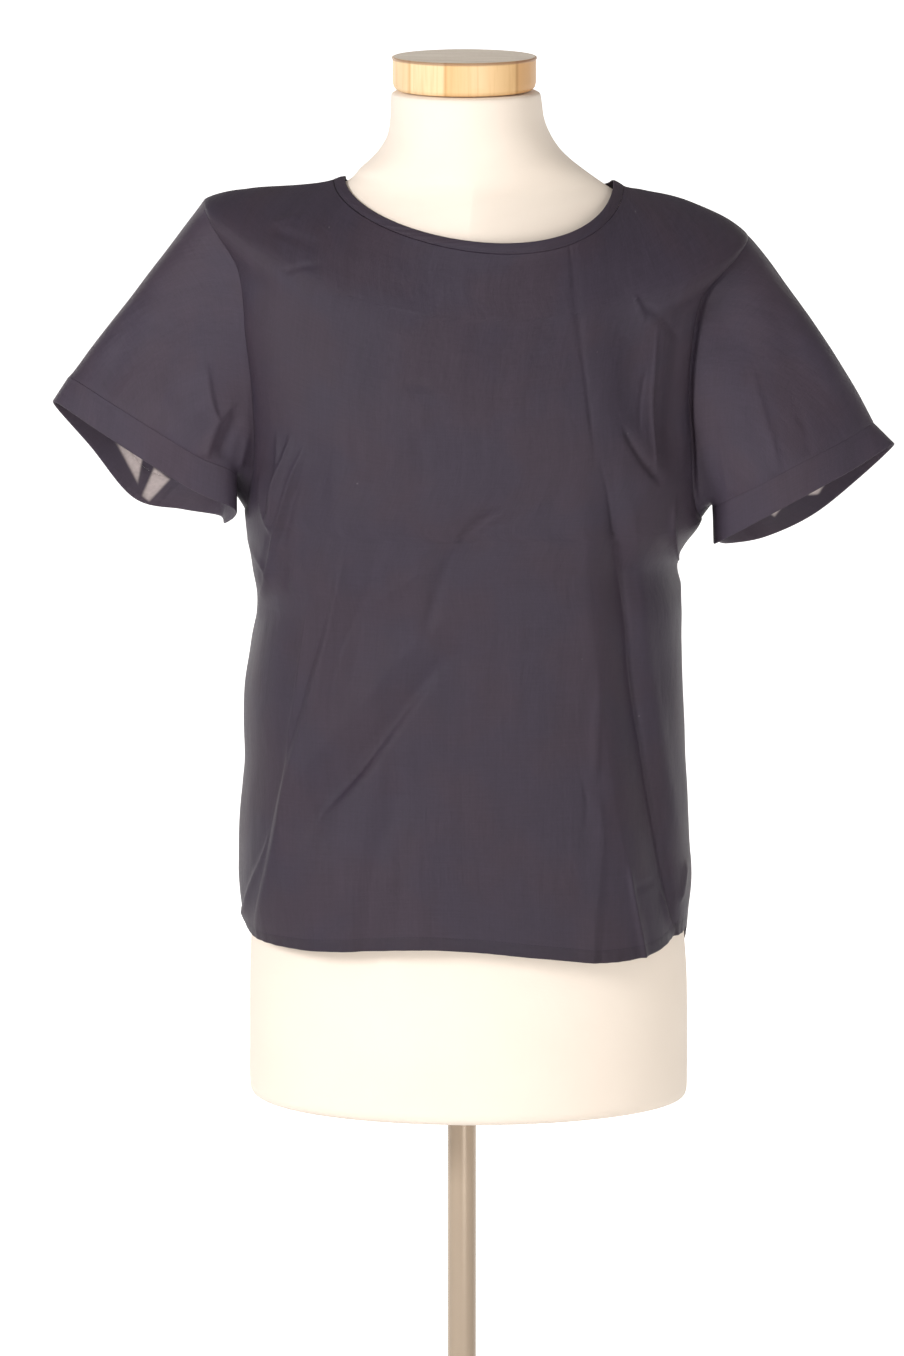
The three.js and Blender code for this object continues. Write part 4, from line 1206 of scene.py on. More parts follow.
@dataclass(frozen=True)
class Thread:
    """Twisted sewing thread, a shade lighter than the cloth."""

    navy: Colour = (0.052, 0.043, 0.062)
    dark: Colour = (0.036, 0.030, 0.046)
    twists: float = 9000.0

    def material(self, name: str) -> bpy.types.Material:
        """The thread, with its twist in the bump.

        Args:
            name: the material's name.

        Returns:
            The material.
        """
        g = Graph.of_material(name)
        place = g.place("Object")
        x, y, z = g.parts(place)
        twist = ((x + y + z) * self.twists).sine()
        tint = g.noise(place, 900.0, 1.0)
        colour = g.blend(tint, self.navy, self.dark)
        return g.finish(g.principled(
            Base_Color=colour, Roughness=0.5 + tint * 0.1, Normal=g.bump(twist, 0.00003, 0.5),
        ))


@dataclass(frozen=True)
class Jersey:
    """Fine cream jersey, stretched smooth over the form."""

    cream: Colour = (0.86, 0.76, 0.655)
    shade: Colour = (0.83, 0.725, 0.62)
    nap: Colour = (0.92, 0.86, 0.78)
    wales: float = 1100.0
    courses: float = 900.0

    def material(self, name: str) -> bpy.types.Material:
        """The jersey, knitted along the form's UV map in metres.

        Args:
            name: the material's name.

        Returns:
            The material.
        """
        g = Graph.of_material(name)
        uv = g.place("UV")
        u, v, _ = g.parts(uv)
        wale = (u * (2 * math.pi * self.wales)).sine()
        course = ((v * (2 * math.pi * self.courses)) + wale * 1.2).sine()
        cloud = g.noise(uv, 6.0, 3.0)
        nap = g.noise(uv, 900.0, 2.0)
        colour = g.blend(cloud.between(0.3, 0.7), self.cream, self.shade)
        colour = g.blend(nap * 0.12, colour, self.nap)
        normal = g.bump(wale * 0.6 + course * 0.4 + nap, 0.00007, 0.5)
        return g.finish(g.principled(
            Base_Color=colour, Roughness=0.78 + cloud * 0.08, Normal=normal,
            Specular_IOR_Level=0.25, Sheen_Weight=0.15, Sheen_Roughness=0.5,
        ))


@dataclass(frozen=True)
class PineBlock:
    """Clear pine, glued up from upright strips and varnished.

    Fields: its tones, those of its top in end grain, and half its width and the height of
    its top in metres; how far below the top its darkened rim starts and ends is set in the material.
    """

    pale: Colour = (0.80, 0.56, 0.30)
    amber: Colour = (0.62, 0.35, 0.14)
    scorched: Colour = (0.24, 0.12, 0.07)
    end_pale: Colour = (0.62, 0.53, 0.42)
    end_dark: Colour = (0.32, 0.21, 0.12)
    half_width: float = 0.058
    top: float = 1.5

    def material(self, name: str) -> bpy.types.Material:
        """The block: strips across X, grain down each of them.

        Args:
            name: the material's name.

        Returns:
            The material.
        """
        g = Graph.of_material(name)
        place = g.place("Object")
        x, _, z = g.parts(place)
        across = x / (2 * self.half_width) + 0.5
        # The strips' tones run darker and more orange towards +X.
        strips = g.node("ShaderNodeValToRGB", {"stops": (
            (0.00, (0.74, 0.52, 0.27)), (0.10, (0.80, 0.58, 0.33)), (0.118, (0.66, 0.42, 0.19)),
            (0.13, (0.83, 0.63, 0.37)), (0.345, (0.82, 0.60, 0.34)), (0.36, (0.60, 0.34, 0.13)),
            (0.375, (0.72, 0.47, 0.22)), (0.60, (0.80, 0.56, 0.30)), (0.83, (0.76, 0.49, 0.23)),
            (0.845, (0.50, 0.27, 0.10)), (0.86, (0.66, 0.38, 0.16)), (1.0, (0.58, 0.33, 0.14)),
        )}, {"Fac": across})
        grain = g.noise(g.scaled(place, (420.0, 60.0, 14.0)), 1.0, 4.0, 0.6)
        rings = g.noise(g.scaled(place, (90.0, 10.0, 3.0)), 1.0, 2.0)
        colour = g.blend(grain.between(0.45, 0.75) * 0.4, strips, self.amber)
        colour = g.blend(rings.between(0.55, 0.7) * 0.25, colour, self.pale)
        below = self.top - z
        rim = (1 - below.between(0.0014, 0.0032)) * below.between(0.00005, 0.0004)
        colour = g.blend(rim * 0.75, colour, self.scorched)
        face = 1 - below.between(0.00001, 0.00015)
        ends = g.noise(g.scaled(place, (16.0, 330.0, 40.0)), 1.0, 3.0, 0.6)
        top = g.blend(ends.between(0.42, 0.7) * 0.55, self.end_pale, self.end_dark)
        colour = g.blend(face * 0.95, colour, top)
        normal = g.bump(grain, 0.0003, 0.25)
        return g.finish(g.principled(
            Base_Color=colour, Roughness=0.42 + grain * 0.14, Normal=normal, Specular_IOR_Level=0.3,
            Coat_Weight=0.12, Coat_Roughness=0.22,
        ))


@dataclass(frozen=True)
class PolishedSteel:
    """Polished steel tube, with faint drawing marks and a warm tone."""

    tone: Colour = (0.38, 0.30, 0.22)
    smudged: Colour = (0.36, 0.27, 0.20)

    def material(self, name: str) -> bpy.types.Material:
        """The tube.

        Args:
            name: the material's name.

        Returns:
            The material.
        """
        g = Graph.of_material(name)
        place = g.place("Object")
        drawn = g.noise(g.scaled(place, (900.0, 900.0, 6.0)), 1.0, 2.0)
        smudge = g.noise(place, 22.0, 3.0)
        colour = g.blend(smudge * 0.3, self.tone, self.smudged)
        return g.finish(g.principled(
            Base_Color=colour, Metallic=0.15, Roughness=0.16 + smudge * 0.12 + drawn * 0.05,
            Normal=g.bump(drawn, 0.00004, 0.3),
        ))


@dataclass(frozen=True)
class SatinSteel:
    """Satin steel plate, brushed in circles."""

    tone: Colour = (0.56, 0.55, 0.54)
    worn: Colour = (0.44, 0.43, 0.42)
    axis_x: float = -0.003

    def material(self, name: str) -> bpy.types.Material:
        """The plate and its collar.

        Args:
            name: the material's name.

        Returns:
            The material.
        """
        g = Graph.of_material(name)
        place = g.place("Object")
        x, y, z = g.parts(place)
        radius = ((x - self.axis_x) ** 2.0 + y ** 2.0) ** 0.5
        rings = g.node("ShaderNodeCombineXYZ", None, {0: radius * 1400.0, 1: z * 900.0, 2: 0.0})
        brushed = g.noise(rings, 1.0, 3.0)
        wear = g.noise(place, 14.0, 3.0)
        colour = g.blend(wear * 0.35, self.tone, self.worn)
        return g.finish(g.principled(
            Base_Color=colour, Metallic=0.9, Roughness=0.3 + brushed * 0.16 + wear * 0.08,
            Normal=g.bump(brushed, 0.00006, 0.4),
        ))


class Slot(Enum):
    """Names of material slots."""

    CLOTH = "blouse_cloth"
    JERSEY = "form_jersey"
    WOOD = "cap_wood"
    POLE = "pole_metal"
    BASE = "base_metal"


def settle(piece: bpy.types.Object, material: bpy.types.Material, slot: Slot, *nodes: str) -> None:
    """Dress a piece, let it ride on the part and stand for its solids.

    Args:
        piece: the finished piece.
        material: its finish.
        slot: not used.
        nodes: the solids that it stands for.
    """
    if not piece.data.materials:
        piece.data.materials.append(material)
    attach(piece, "root")
    if nodes:
        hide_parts(*nodes)
    LOG.info("%s: %d faces", piece.name, len(piece.data.polygons))


# ---------- machine stitches ----------
@dataclass(frozen=True)
class StitchLine:
    """A row of machine stitches along a line on the cloth, made by Geometry Nodes.

    Fields: pitch, length and thickness in metres, how far a stitch may turn from the line
    in degrees, and the seed of those turns.
    """

    pitch: float = 0.0026
    length: float = 0.0019
    thickness: float = 0.00034
    sway: float = 5.0
    seed: int = 11

    def tree(self) -> tuple[bpy.types.NodeTree, dict[str, str]]:
        """Grow the node tree.

        Returns:
            The tree, and each input's identifier by its name.
        """
        tree = bpy.data.node_groups.new("stitch_line", "GeometryNodeTree")
        kinds = {
            "Line": "Geometry", "Pitch": "Float", "Length": "Float", "Thickness": "Float",
            "Sway": "Float", "Seed": "Int", "Thread": "Material",
        }
        sockets = {}
        for name, kind in kinds.items():
            kind = "NodeSocket" + kind
            sockets[name] = tree.interface.new_socket(name, in_out="INPUT", socket_type=kind).identifier
        tree.interface.new_socket("Stitches", in_out="OUTPUT", socket_type="NodeSocketGeometry")
        g = Graph(tree)
        given = g.outputs(g.node("NodeGroupInput"))[:len(kinds)]
        line, pitch, length, thickness, sway, seed, thread = given
        curve = g.node("GeometryNodeMeshToCurve", None, {"Mesh": line})
        steps = {"Curve": curve, "Length": pitch}
        spots = g.node("GeometryNodeResampleCurve", {"mode": "LENGTH"}, steps)
        ball = g.node("GeometryNodeMeshUVSphere", None, {"Segments": 6, "Rings": 4, "Radius": 0.5})
        size = g.node("ShaderNodeCombineXYZ", None, {0: length, 1: thickness, 2: thickness})
        stitch = g.node("GeometryNodeTransform", None, {"Geometry": ball, "Scale": size})
        kind, axis = "FunctionNodeAlignRotationToVector", {"axis": "X"}
        along = g.node(kind, axis, {"Vector": g.node("GeometryNodeInputTangent")})
        kept = {"data_type": "FLOAT_VECTOR"}
        outward = g.node("GeometryNodeInputNamedAttribute", kept, {"Name": "outward"}, "Attribute")
        axis = {"axis": "Z", "pivot_axis": "X"}
        upright = g.node(kind, axis, {"Rotation": along, "Vector": outward})
        limits = {2: sway * -1.0, 3: sway, "Seed": seed}
        chance = g.node("FunctionNodeRandomValue", {"data_type": "FLOAT"}, limits, 1)
        turned_by = g.node("ShaderNodeCombineXYZ", None, {2: chance})
        turn = g.node("FunctionNodeEulerToRotation", None, {0: turned_by})
        local = {"rotation_space": "LOCAL"}
        swayed = g.node("FunctionNodeRotateRotation", local, {0: upright, 1: turn})
        row = {"Points": spots, "Instance": stitch, "Rotation": swayed}
        sown = g.node("GeometryNodeInstanceOnPoints", None, row)
        real = g.node("GeometryNodeRealizeInstances", None, {"Geometry": sown})
        dressed = g.node("GeometryNodeSetMaterial", None, {"Geometry": real, "Material": thread})
        g.node("NodeGroupOutput", None, {0: dressed})
        return tree, sockets

    def sew(
        self,
        name: str,
        line: np.ndarray,
        outward: np.ndarray,
        closed: bool,
        thread: bpy.types.Material,
    ) -> bpy.types.Object:
        """Sew along a line.

        Args:
            name: the piece's name.
            line: points on the cloth's face in millimetres.
            outward: the cloth's normals there.
            closed: whether the line is a loop.
            thread: the thread's finish.

        Returns:
            The stitches as one plain mesh.
        """
        mesh = bpy.data.meshes.new(name + "_line")
        count = len(line)
        pairs = [(i, i + 1) for i in range(count - 1)] + ([(count - 1, 0)] if closed else [])
        mesh.from_pydata((line * MM).tolist(), pairs, [])
        kept = mesh.attributes.new("outward", "FLOAT_VECTOR", "POINT")
        kept.data.foreach_set("vector", outward.astype(np.float32).ravel())
        guide = placed(mesh.name, mesh)
        tree, sockets = self.tree()
        modifier = guide.modifiers.new("stitches", "NODES")
        modifier.node_group = tree
        values = {
            "Pitch": self.pitch, "Length": self.length, "Thickness": self.thickness,
            "Sway": math.radians(self.sway), "Seed": self.seed, "Thread": thread,
        }
        for key, value in values.items():
            modifier[sockets[key]] = value
        bpy.context.view_layer.update()
        evaluated = guide.evaluated_get(bpy.context.evaluated_depsgraph_get())
        result = bpy.data.meshes.new_from_object(evaluated)
        result.name = name
        bpy.data.objects.remove(guide)
        return placed(name, result)


# ---------- the blouse ----------
@dataclass
class SleeveFrame:
    """What the panels, the sleeve and the cuff of one side share, all round an armhole.

    Fields: the side, and how many points each row of the armhole's table is parted into.
    """

    side: Side
    fineness: int = 8

    def __post_init__(self) -> None:
        """Work out the armhole, the cuff's two loops and the way between them."""
        up = np.arange(0, ARMHOLE_ROWS * self.fineness + 1) / self.fineness
        self.rows = np.concatenate([up, up[-2:0:-1]])
        self.tip = len(up) - 1
        self.count = len(self.rows)
        front = np.arange(self.count) <= self.tip
        s = ARMHOLE.at("s", self.rows)
        opened = ARMHOLE.at(self.word, self.rows)
        if self.side is Side.LEFT:
            angle = np.where(front, 360 - opened, 360 + opened)
        else:
            angle = np.where(front, 180 + opened, 180 - opened)
        self.starts = BODY.surface(angle, s)
        self.hole_normals = BODY.normals(BODY.surface, angle, s)
        before, behind = (VALLEYS.at(f"{self.word}_{half.value}", self.rows) for half in Half)
        self.sinks = np.where(front, before, behind)
        self.tip_point = self.starts[self.tip].copy()
        self.sinks += self.tip_sink(self.starts)
        self.starts = self.starts - self.hole_normals * self.sinks[:, None]
        self.seams, self.edges, self.puffs = self.cuff_loops(self.turns())
        around = np.roll(self.starts, -1, 0) - np.roll(self.starts, 1, 0)
        opening = unit(np.cross(around, self.hole_normals))
        inwards = ((self.starts.mean(0) - self.starts) * opening).sum(-1, keepdims=True)
        opening = np.where(inwards < 0, -opening, opening)
        self.leaving = unit(0.45 * opening + 0.75 * unit(self.seams - self.starts))
        starting = unit(np.cross(around, self.leaving))
        outwards = (starting * self.hole_normals).sum(-1, keepdims=True)
        self.starting = np.where(outwards < 0, -starting, starting)
        self.rims = mitre(self.hole_normals, self.starting)

    @property
    def word(self) -> str:
        """The side in the words of the pieces' names."""
        return self.side.name.lower()

    def tip_sink(self, points: np.ndarray) -> np.ndarray:
        """How far the cloth rounds inwards near the shoulder tip, in millimetres."""
        depth, reach = TIP_ROUND
        return depth * np.exp(-((np.linalg.norm(points - self.tip_point, axis=-1) / reach) ** 2))

    def turns(self) -> np.ndarray:
        """Share out the cuff's table by distance along each half of the armhole.

        Returns:
            How far round the table each armhole point is.
        """
        loop = np.vstack([self.starts, self.starts[:1]])
        lengths = lengths_along(loop, 0)
        half_turn = len(CUFFS[self.side]) / 2
        rise = half_turn * lengths / lengths[self.tip]
        fall = half_turn * (1 + (lengths - lengths[self.tip]) / (lengths[-1] - lengths[self.tip]))
        return np.where(np.arange(self.count + 1) <= self.tip, rise, fall)[:-1]

    def cuff_loops(self, turn: np.ndarray) -> tuple[np.ndarray, np.ndarray, np.ndarray]:
        """Read the cuff's table on a smooth loop.

        Args:
            turn: how far round the table.

        Returns:
            The cuff's seam, its edge and the sleeve's swell at each turn.
        """
        table = np.array(CUFFS[self.side], float)[:, 1:]
        i = np.floor(turn).astype(int)
        t = (turn - i)[:, None]
        a, b, c, d = (table[(i + step) % len(table)] for step in (-1, 0, 1, 2))
        found = hermite(b, (c - a) / 2, c, (d - b) / 2, t)
        return found[:, 0:3], found[:, 3:6], np.maximum(found[:, 6], 0.0)

    def sleeve_grid(self, t: np.ndarray) -> np.ndarray:
        """Lead the sleeve from its armhole to its cuff.

        Args:
            t: how far along it each row is, from 0 to 1.

        Returns:
            Its middle points, a row for each t.
        """
        reach = np.linalg.norm(self.seams - self.starts, axis=-1, keepdims=True)
        pull = np.minimum(reach * 0.9, 26 + reach * 0.18)
        chord = unit(self.seams - self.starts)
        hang = unit(self.edges - self.seams)
        arrive = unit(hang + (chord - hang) * smooth(reach / 160))
        t = t[:, None, None]
        grid = hermite(self.starts, self.leaving * pull, self.seams, arrive * pull, t)
        return grid + self.starting * (self.puffs[:, None] * 4 * t * (1 - t))

    def normals(self, grid: np.ndarray) -> np.ndarray:
        """Outward unit normals of a grid.

        Args:
            grid: rows along the sleeve, with columns round it.

        Returns:
            The normals, shaped as grid.
        """
        around = np.roll(grid, -1, 1) - np.roll(grid, 1, 1)
        along = np.gradient(grid, axis=0)
        return unit(np.cross(around, along)) * -self.side.value


def mitre(first: np.ndarray, second: np.ndarray) -> np.ndarray:
    """The shared seam vectors of two walls that meet at an angle."""
    together = (first * second).sum(-1, keepdims=True)
    return (first + second) / np.maximum(0.9, 1 + together)


def wrapped(grid: np.ndarray) -> np.ndarray:
    """A grid with its first column repeated at the end."""
    return np.concatenate([grid, grid[:, :1]], axis=1)


def tube_wall(
    name: str,
    shape: np.ndarray,
    across: np.ndarray,
    out: np.ndarray,
    into: np.ndarray,
    u: np.ndarray,
    v: np.ndarray,
) -> bpy.types.Object:
    """A cloth wall that goes all the way round.

    Args:
        name: the piece's name.
        shape: rows of points, without a repeated column.
        across: unit vectors through the cloth at those points.
        out: millimetres to the outer face.
        into: millimetres to the inner face.
        u: millimetres round the cloth, with one more column.
        v: millimetres along the cloth.

    Returns:
        The wall as one closed mesh.
    """
    uv = np.stack([u, wrapped(v)], -1) * MM
    return wall(name, wrapped(shape), wrapped(across), wrapped(out), wrapped(into), True, uv)


def towards(points: np.ndarray, target: np.ndarray, distance: float) -> np.ndarray:
    """Points moved a distance towards others."""
    return points + unit(target - points) * distance


def edge_round(depth: np.ndarray, radius: float) -> np.ndarray:
    """How full a wall is at a depth from its rounded edge, from 0 to 1."""
    return np.sqrt(np.clip(1 - (1 - np.clip(depth / radius, 0, 1)) ** 2, 0.02, 1))


@dataclass
class Panel:
    """The front or the back of the blouse, from the hem to the neck binding.

    Fields: which half, its creases, its columns, its rows below the armholes, its rows for
    each row of the armhole's table, its rows over the shoulders, how much closer its
    columns stand near the sides, the puckers' height, how far the turned-up hem stands
    out and in, and the depth and half width of the groove under the hem's stitches.
    """

    half: Half
    creases: tuple[Crease, ...]
    columns: int
    body_rows: int
    armhole_steps: int
    yoke_rows: int
    crowd: float = 0.34
    pucker: float = 0.28
    hem_extra: tuple[float, float] = (0.22, 0.55)
    groove: tuple[float, float] = (0.24, 0.7)

    def levels(self) -> tuple[np.ndarray, np.ndarray]:
        """Lay out the rows below the yoke.

        Returns:
            Each row's s, and its place in the armhole's table or zero below it.
        """
        hem = np.array([0, 0.12, 0.35, 0.7, 1.2, 2.4, 3.8, 5.2, 6.6, 7.8, HEM_STITCHES, 9.4, 10.2, 12.0])
        body = np.linspace(12.0, UNDERARM, self.body_rows + 1)[1:]
        rows = np.arange(1, ARMHOLE_ROWS * self.armhole_steps + 1) / self.armhole_steps
        below = np.concatenate([hem, body])
        s = np.concatenate([below, ARMHOLE.at("s", rows)])
        return s, np.concatenate([np.zeros(len(below)), rows])

    def grid(self) -> tuple[np.ndarray, np.ndarray]:
        """Lay out every point of the panel.

        Returns:
            Their angles and levels.
        """
        s, rows = self.levels()
        left, right = ARMHOLE.at("left", rows), ARMHOLE.at("right", rows)
        if self.half is Half.FRONT:
            first, last = 180 + right, 360 - left
        else:
            first, last = left, 180 - right
        yoke = np.concatenate([np.arange(1, self.yoke_rows) / self.yoke_rows, [0.985, 1.0]])
        first = np.concatenate([first, np.full(len(yoke), first[-1])])
        last = np.concatenate([last, np.full(len(yoke), last[-1])])
        margin = np.array([0, 0.0007, 0.0018, 0.0036])
        middle = np.linspace(0.0036, 1 - 0.0036, self.columns - 5)[1:-1]
        middle = middle + self.crowd * np.sin(4 * math.pi * middle) / (4 * math.pi)
        across = np.concatenate([margin, middle, 1 - margin[::-1]])
        angle = first[:, None] + (last - first)[:, None] * across
        level = np.repeat(s[:, None], angle.shape[1], 1)
        top = BODY.binding_start(angle[-1])
        level = np.vstack([level, s[-1] + (top - s[-1]) * yoke[:, None]])
        return angle, level

    def build(
        self, name: str, frames: Sequence[SleeveFrame]
    ) -> tuple[bpy.types.Object, np.ndarray, np.ndarray]:
        """Build the panel.

        Args:
            name: the piece's name.
            frames: each sleeve's shared points.

        Returns:
            The panel, and the points and normals of its hem's stitch line.
        """
        angle, level = self.grid()
        middle = BODY.surface(angle, level)
        across = BODY.normals(BODY.surface, angle, level)
        _, rows = self.levels()
        u = lengths_along(middle, 1)
        u = u - u[:, u.shape[1] // 2, None]
        from_side = np.minimum(u - u[:, :1], u[:, -1:] - u)
        armhole = (np.arange(len(level)) >= np.argmax(rows > 0)) & (np.arange(len(level)) < len(rows))
        from_seam = smooth(from_side / np.where(armhole[:, None], 9, 5))
        from_neck = smooth((level[-1] - level) / 4 + 0.15)
        puckers = np.sin(u / 1.9 + 2 * np.sin(u / 17)) * np.sin(u / 31 + 1) * np.exp(-level / 9)
        lift = creased(self.creases, middle) + self.pucker * puckers
        lift = lift + PANEL_WAVES[self.half].at(u, level)
        lift = lift * from_seam * from_neck
        for sleeve in frames:
            away = u - u[:, :1] if self.starts_at(sleeve) else u[:, -1:] - u
            depth = VALLEYS.at(f"{sleeve.word}_{self.half.value}", rows)
            deep = np.zeros(len(level))
            deep[:len(rows)] = np.where(rows > 0, depth, 0.0)
            lift -= deep[:, None] * np.exp(-away / VALLEY_REACH[sleeve.side]) + sleeve.tip_sink(middle)
        shape = middle + across * lift[..., None]
        for sleeve in frames:
            self.meet_armhole(shape, across, rows, sleeve)
        for column, inner in ((0, 1), (-1, -2)):
            shape[:, column] = towards(shape[:, column], shape[:, inner], SEAM_HALF)
        fullness = edge_round(from_side, EDGE_ROUND) * edge_round(level, 1.2)
        fullness *= edge_round(level[-1] - level + 0.1, 0.22)
        hem = 1 - smooth((level - HEM_DEPTH + 0.4) / 0.9)
        groove = self.groove[0] * np.exp(-(((level - HEM_STITCHES) / self.groove[1]) ** 2))
        out = (HALF_CLOTH + self.hem_extra[0] * hem - groove) * fullness
        into = (HALF_CLOTH + self.hem_extra[1] * hem) * fullness
        uv = np.stack([u, level], -1) * MM
        panel = wall(name, shape, across, out, into, False, uv)
        row = int(np.argmin(np.abs(level[:, 0] - HEM_STITCHES)))
        kept = slice(4, -4)
        line = shape[row, kept] + across[row, kept] * (out[row, kept, None] + STITCH_RISE)
        return panel, line, across[row, kept]

    def starts_at(self, sleeve: SleeveFrame) -> bool:
        """Whether the first column of points is the one at this sleeve's armhole."""
        return (self.half is Half.FRONT) == (sleeve.side is Side.RIGHT)

    def meet_armhole(
        self, shape: np.ndarray, across: np.ndarray, rows: np.ndarray, sleeve: SleeveFrame
    ) -> None:
        """Turn the cloth's direction into the sleeve's along one armhole edge.

        Args:
            shape: the panel's points, read for their distance from the edge.
            across: the directions through the cloth, changed in place.
            rows: each row's place in the armhole's table.
            sleeve: that side's shared points.
        """
        order = np.argsort(sleeve.rows[:sleeve.tip + 1])
        keys = sleeve.rows[:sleeve.tip + 1][order]
        if self.half is Half.FRONT:
            rims = sleeve.rims[:sleeve.tip + 1][order]
        else:
            back = (sleeve.count - np.arange(sleeve.tip + 1)) % sleeve.count
            rims = sleeve.rims[back]
        for j in np.nonzero(rows > 0)[0]:
            rim = np.array([np.interp(rows[j], keys, rims[:, axis]) for axis in range(3)])
            edge = shape[j, 0] if self.starts_at(sleeve) else shape[j, -1]
            share = 1 - smooth(np.linalg.norm(shape[j] - edge, axis=-1) / MITRE_REACH)[:, None]
            across[j] = across[j] * (1 - share) + rim * share


@dataclass
class Blouse:
    """The seven sewn pieces of the blouse and the stitches that show."""

    body_cloth: bpy.types.Material
    # Painted light: a lighter copy of the cloth, for the sleeves and cuffs.
    sleeve_cloth: bpy.types.Material
    cloth: bpy.types.Material
    thread: bpy.types.Material

    def build(self) -> None:
        """Make and dress every piece."""
        frames = [SleeveFrame(side) for side in Side]
        for panel in (
            Panel(Half.FRONT, FRONT_CREASES, columns=300, body_rows=115, armhole_steps=6, yoke_rows=26),
            Panel(Half.BACK, BACK_CREASES, columns=220, body_rows=110, armhole_steps=5, yoke_rows=24),
        ):
            name = f"{panel.half.value}_cloth"
            piece, line, outward = panel.build(name, frames)
            settle(piece, self.body_cloth, Slot.CLOTH, f"{panel.half.value}_panel")
            stitches = StitchLine().sew(name + "_stitches", line, outward, False, self.thread)
            settle(stitches, self.thread, Slot.CLOTH)
        for sleeve in frames:
            self.sleeve(sleeve)
            self.cuff(sleeve)
        self.binding()

    def sleeve(self, sleeve: SleeveFrame) -> None:
        """One sleeve, from its armhole to its cuff.

        Args:
            sleeve: its side's shared points.
        """
        t = np.concatenate([[0, 0.003, 0.008], np.linspace(0.018, 0.982, 79), [0.992, 0.997, 1.0]])
        middle = sleeve.sleeve_grid(t)
        across = sleeve.normals(middle)
        cuff_normals = sleeve.normals(np.stack([sleeve.seams, sleeve.edges]))[0]
        reach = lengths_along(middle, 0)
        near = (1 - smooth(reach / MITRE_REACH))[..., None]
        across = across * (1 - near) + sleeve.rims * near
        far = (1 - smooth((reach[-1] - reach) / MITRE_REACH))[..., None]
        across = across * (1 - far) + mitre(cuff_normals, across[-1]) * far
        fore = smooth((across[..., 1] * -1 + 0.1) / 0.3)
        lift = fore * creased(SLEEVE_CREASES[sleeve.side, Half.FRONT], middle)
        lift += (1 - fore) * creased(SLEEVE_CREASES[sleeve.side, Half.BACK], middle)
        round_about = lengths_along(wrapped(middle), 1)
        u = round_about[:, :-1]
        lift += SLEEVE_WAVES.around(u / u[:, -1:], reach)
        lift *= smooth(reach / 12) * smooth((reach[-1] - reach) / 6)
        spared, part, fading = VALLEY_CLIMB
        climb = part * np.maximum(sleeve.sinks - spared, 0.0) * fore
        lift += climb * smooth(reach / 7) * np.exp(-((reach / fading) ** 2))
        shape = middle + across * lift[..., None]
        shape[0] = towards(shape[0], shape[1], SEAM_HALF)
        shape[-1] = towards(shape[-1], shape[-2], SEAM_HALF)
        thick = HALF_CLOTH * edge_round(reach + 0.05, EDGE_ROUND)
        piece = tube_wall(f"sleeve_{sleeve.word}_cloth", shape, across, thick, thick, round_about, reach)
        settle(piece, self.sleeve_cloth, Slot.CLOTH, f"sleeve_{sleeve.word}")

    def cuff(self, sleeve: SleeveFrame) -> None:
        """One turned-up cuff: a band of several layers, proud of its sleeve.

        Args:
            sleeve: its side's shared points.
        """
        t = np.concatenate([
            [0, 0.006, 0.016, 0.032, 0.06], np.linspace(0.1, 0.9, 15), [0.935, 0.962, 0.982, 0.994, 1],
        ])
        edge, seam = sleeve.edges, sleeve.seams
        middle = seam + (edge - seam) * t[:, None, None]
        across = np.repeat(sleeve.normals(np.stack([seam, edge]))[:1], len(t), 0)
        depth = lengths_along(middle, 0)
        u = lengths_along(wrapped(middle), 1)
        wave = CUFF_WAVES.around(u[:, :-1] / u[:, -1:], depth) * smooth(depth / 6)
        middle[0] = towards(middle[0], middle[1], SEAM_HALF)
        shape = middle + across * wave[..., None]
        top, foot = edge_round(depth + 0.02, 0.6), edge_round(depth[-1] - depth, 1.1)
        out = (HALF_CLOTH - 0.08 + (0.08 + CUFF_STEP[sleeve.side]) * top) * foot
        into = (0.3 + 0.55 * smooth(depth / 2)) * foot
        piece = tube_wall(f"cuff_{sleeve.word}_cloth", shape, across, out, into, u, depth)
        settle(piece, self.sleeve_cloth, Slot.CLOTH, f"cuff_{sleeve.word}")

    def binding(self) -> None:
        """The narrow folded strip round the neck, with its stitches."""
        columns = 360
        t = np.concatenate([[0, 0.02, 0.05], np.linspace(0.1, 0.9, 9), [0.94, 0.97, 0.985, 0.995, 1.0]])
        angle = np.linspace(0, 360, columns, endpoint=False) + 0.25
        low = BODY.binding_start(angle)
        level = low + (BODY.neck_edge(angle) - low) * t[:, None]
        angles = np.repeat(angle[None], len(t), 0)
        middle = BODY.surface(angles, level)
        across = BODY.normals(BODY.surface, angles, level)
        depth = lengths_along(middle, 0)
        u = lengths_along(wrapped(middle), 1)
        pucker = np.sin(u[:, :-1] / 2.1 + np.sin(u[:, :-1] / 23)) * np.sin(u[:, :-1] / 37)
        middle[0] = towards(middle[0], middle[1], SEAM_HALF)
        dome = 0.6 + 0.35 * np.sin(np.pi * np.clip(depth / depth[-1], 0, 1)) + 0.09 * pucker
        groove = 0.13 * np.exp(-(((depth - BINDING_STITCHES) / 0.5) ** 2))
        full = edge_round(depth + 0.08, 0.28) * edge_round(depth[-1] - depth, 1.0)
        out = (dome - groove) * full
        piece = tube_wall("neck_binding_cloth", middle, across, out, 0.6 * full, u, depth)
        settle(piece, self.cloth, Slot.CLOTH, "neck_binding")
        row = int(np.argmin(np.abs(depth[:, 0] - BINDING_STITCHES)))
        line = middle[row] + across[row] * (out[row][:, None] + STITCH_RISE)
        sewn = StitchLine(pitch=0.0024, length=0.0018, seed=5)
        stitches = sewn.sew("neck_binding_stitches", line, across[row], True, self.thread)
        settle(stitches, self.thread, Slot.CLOTH)


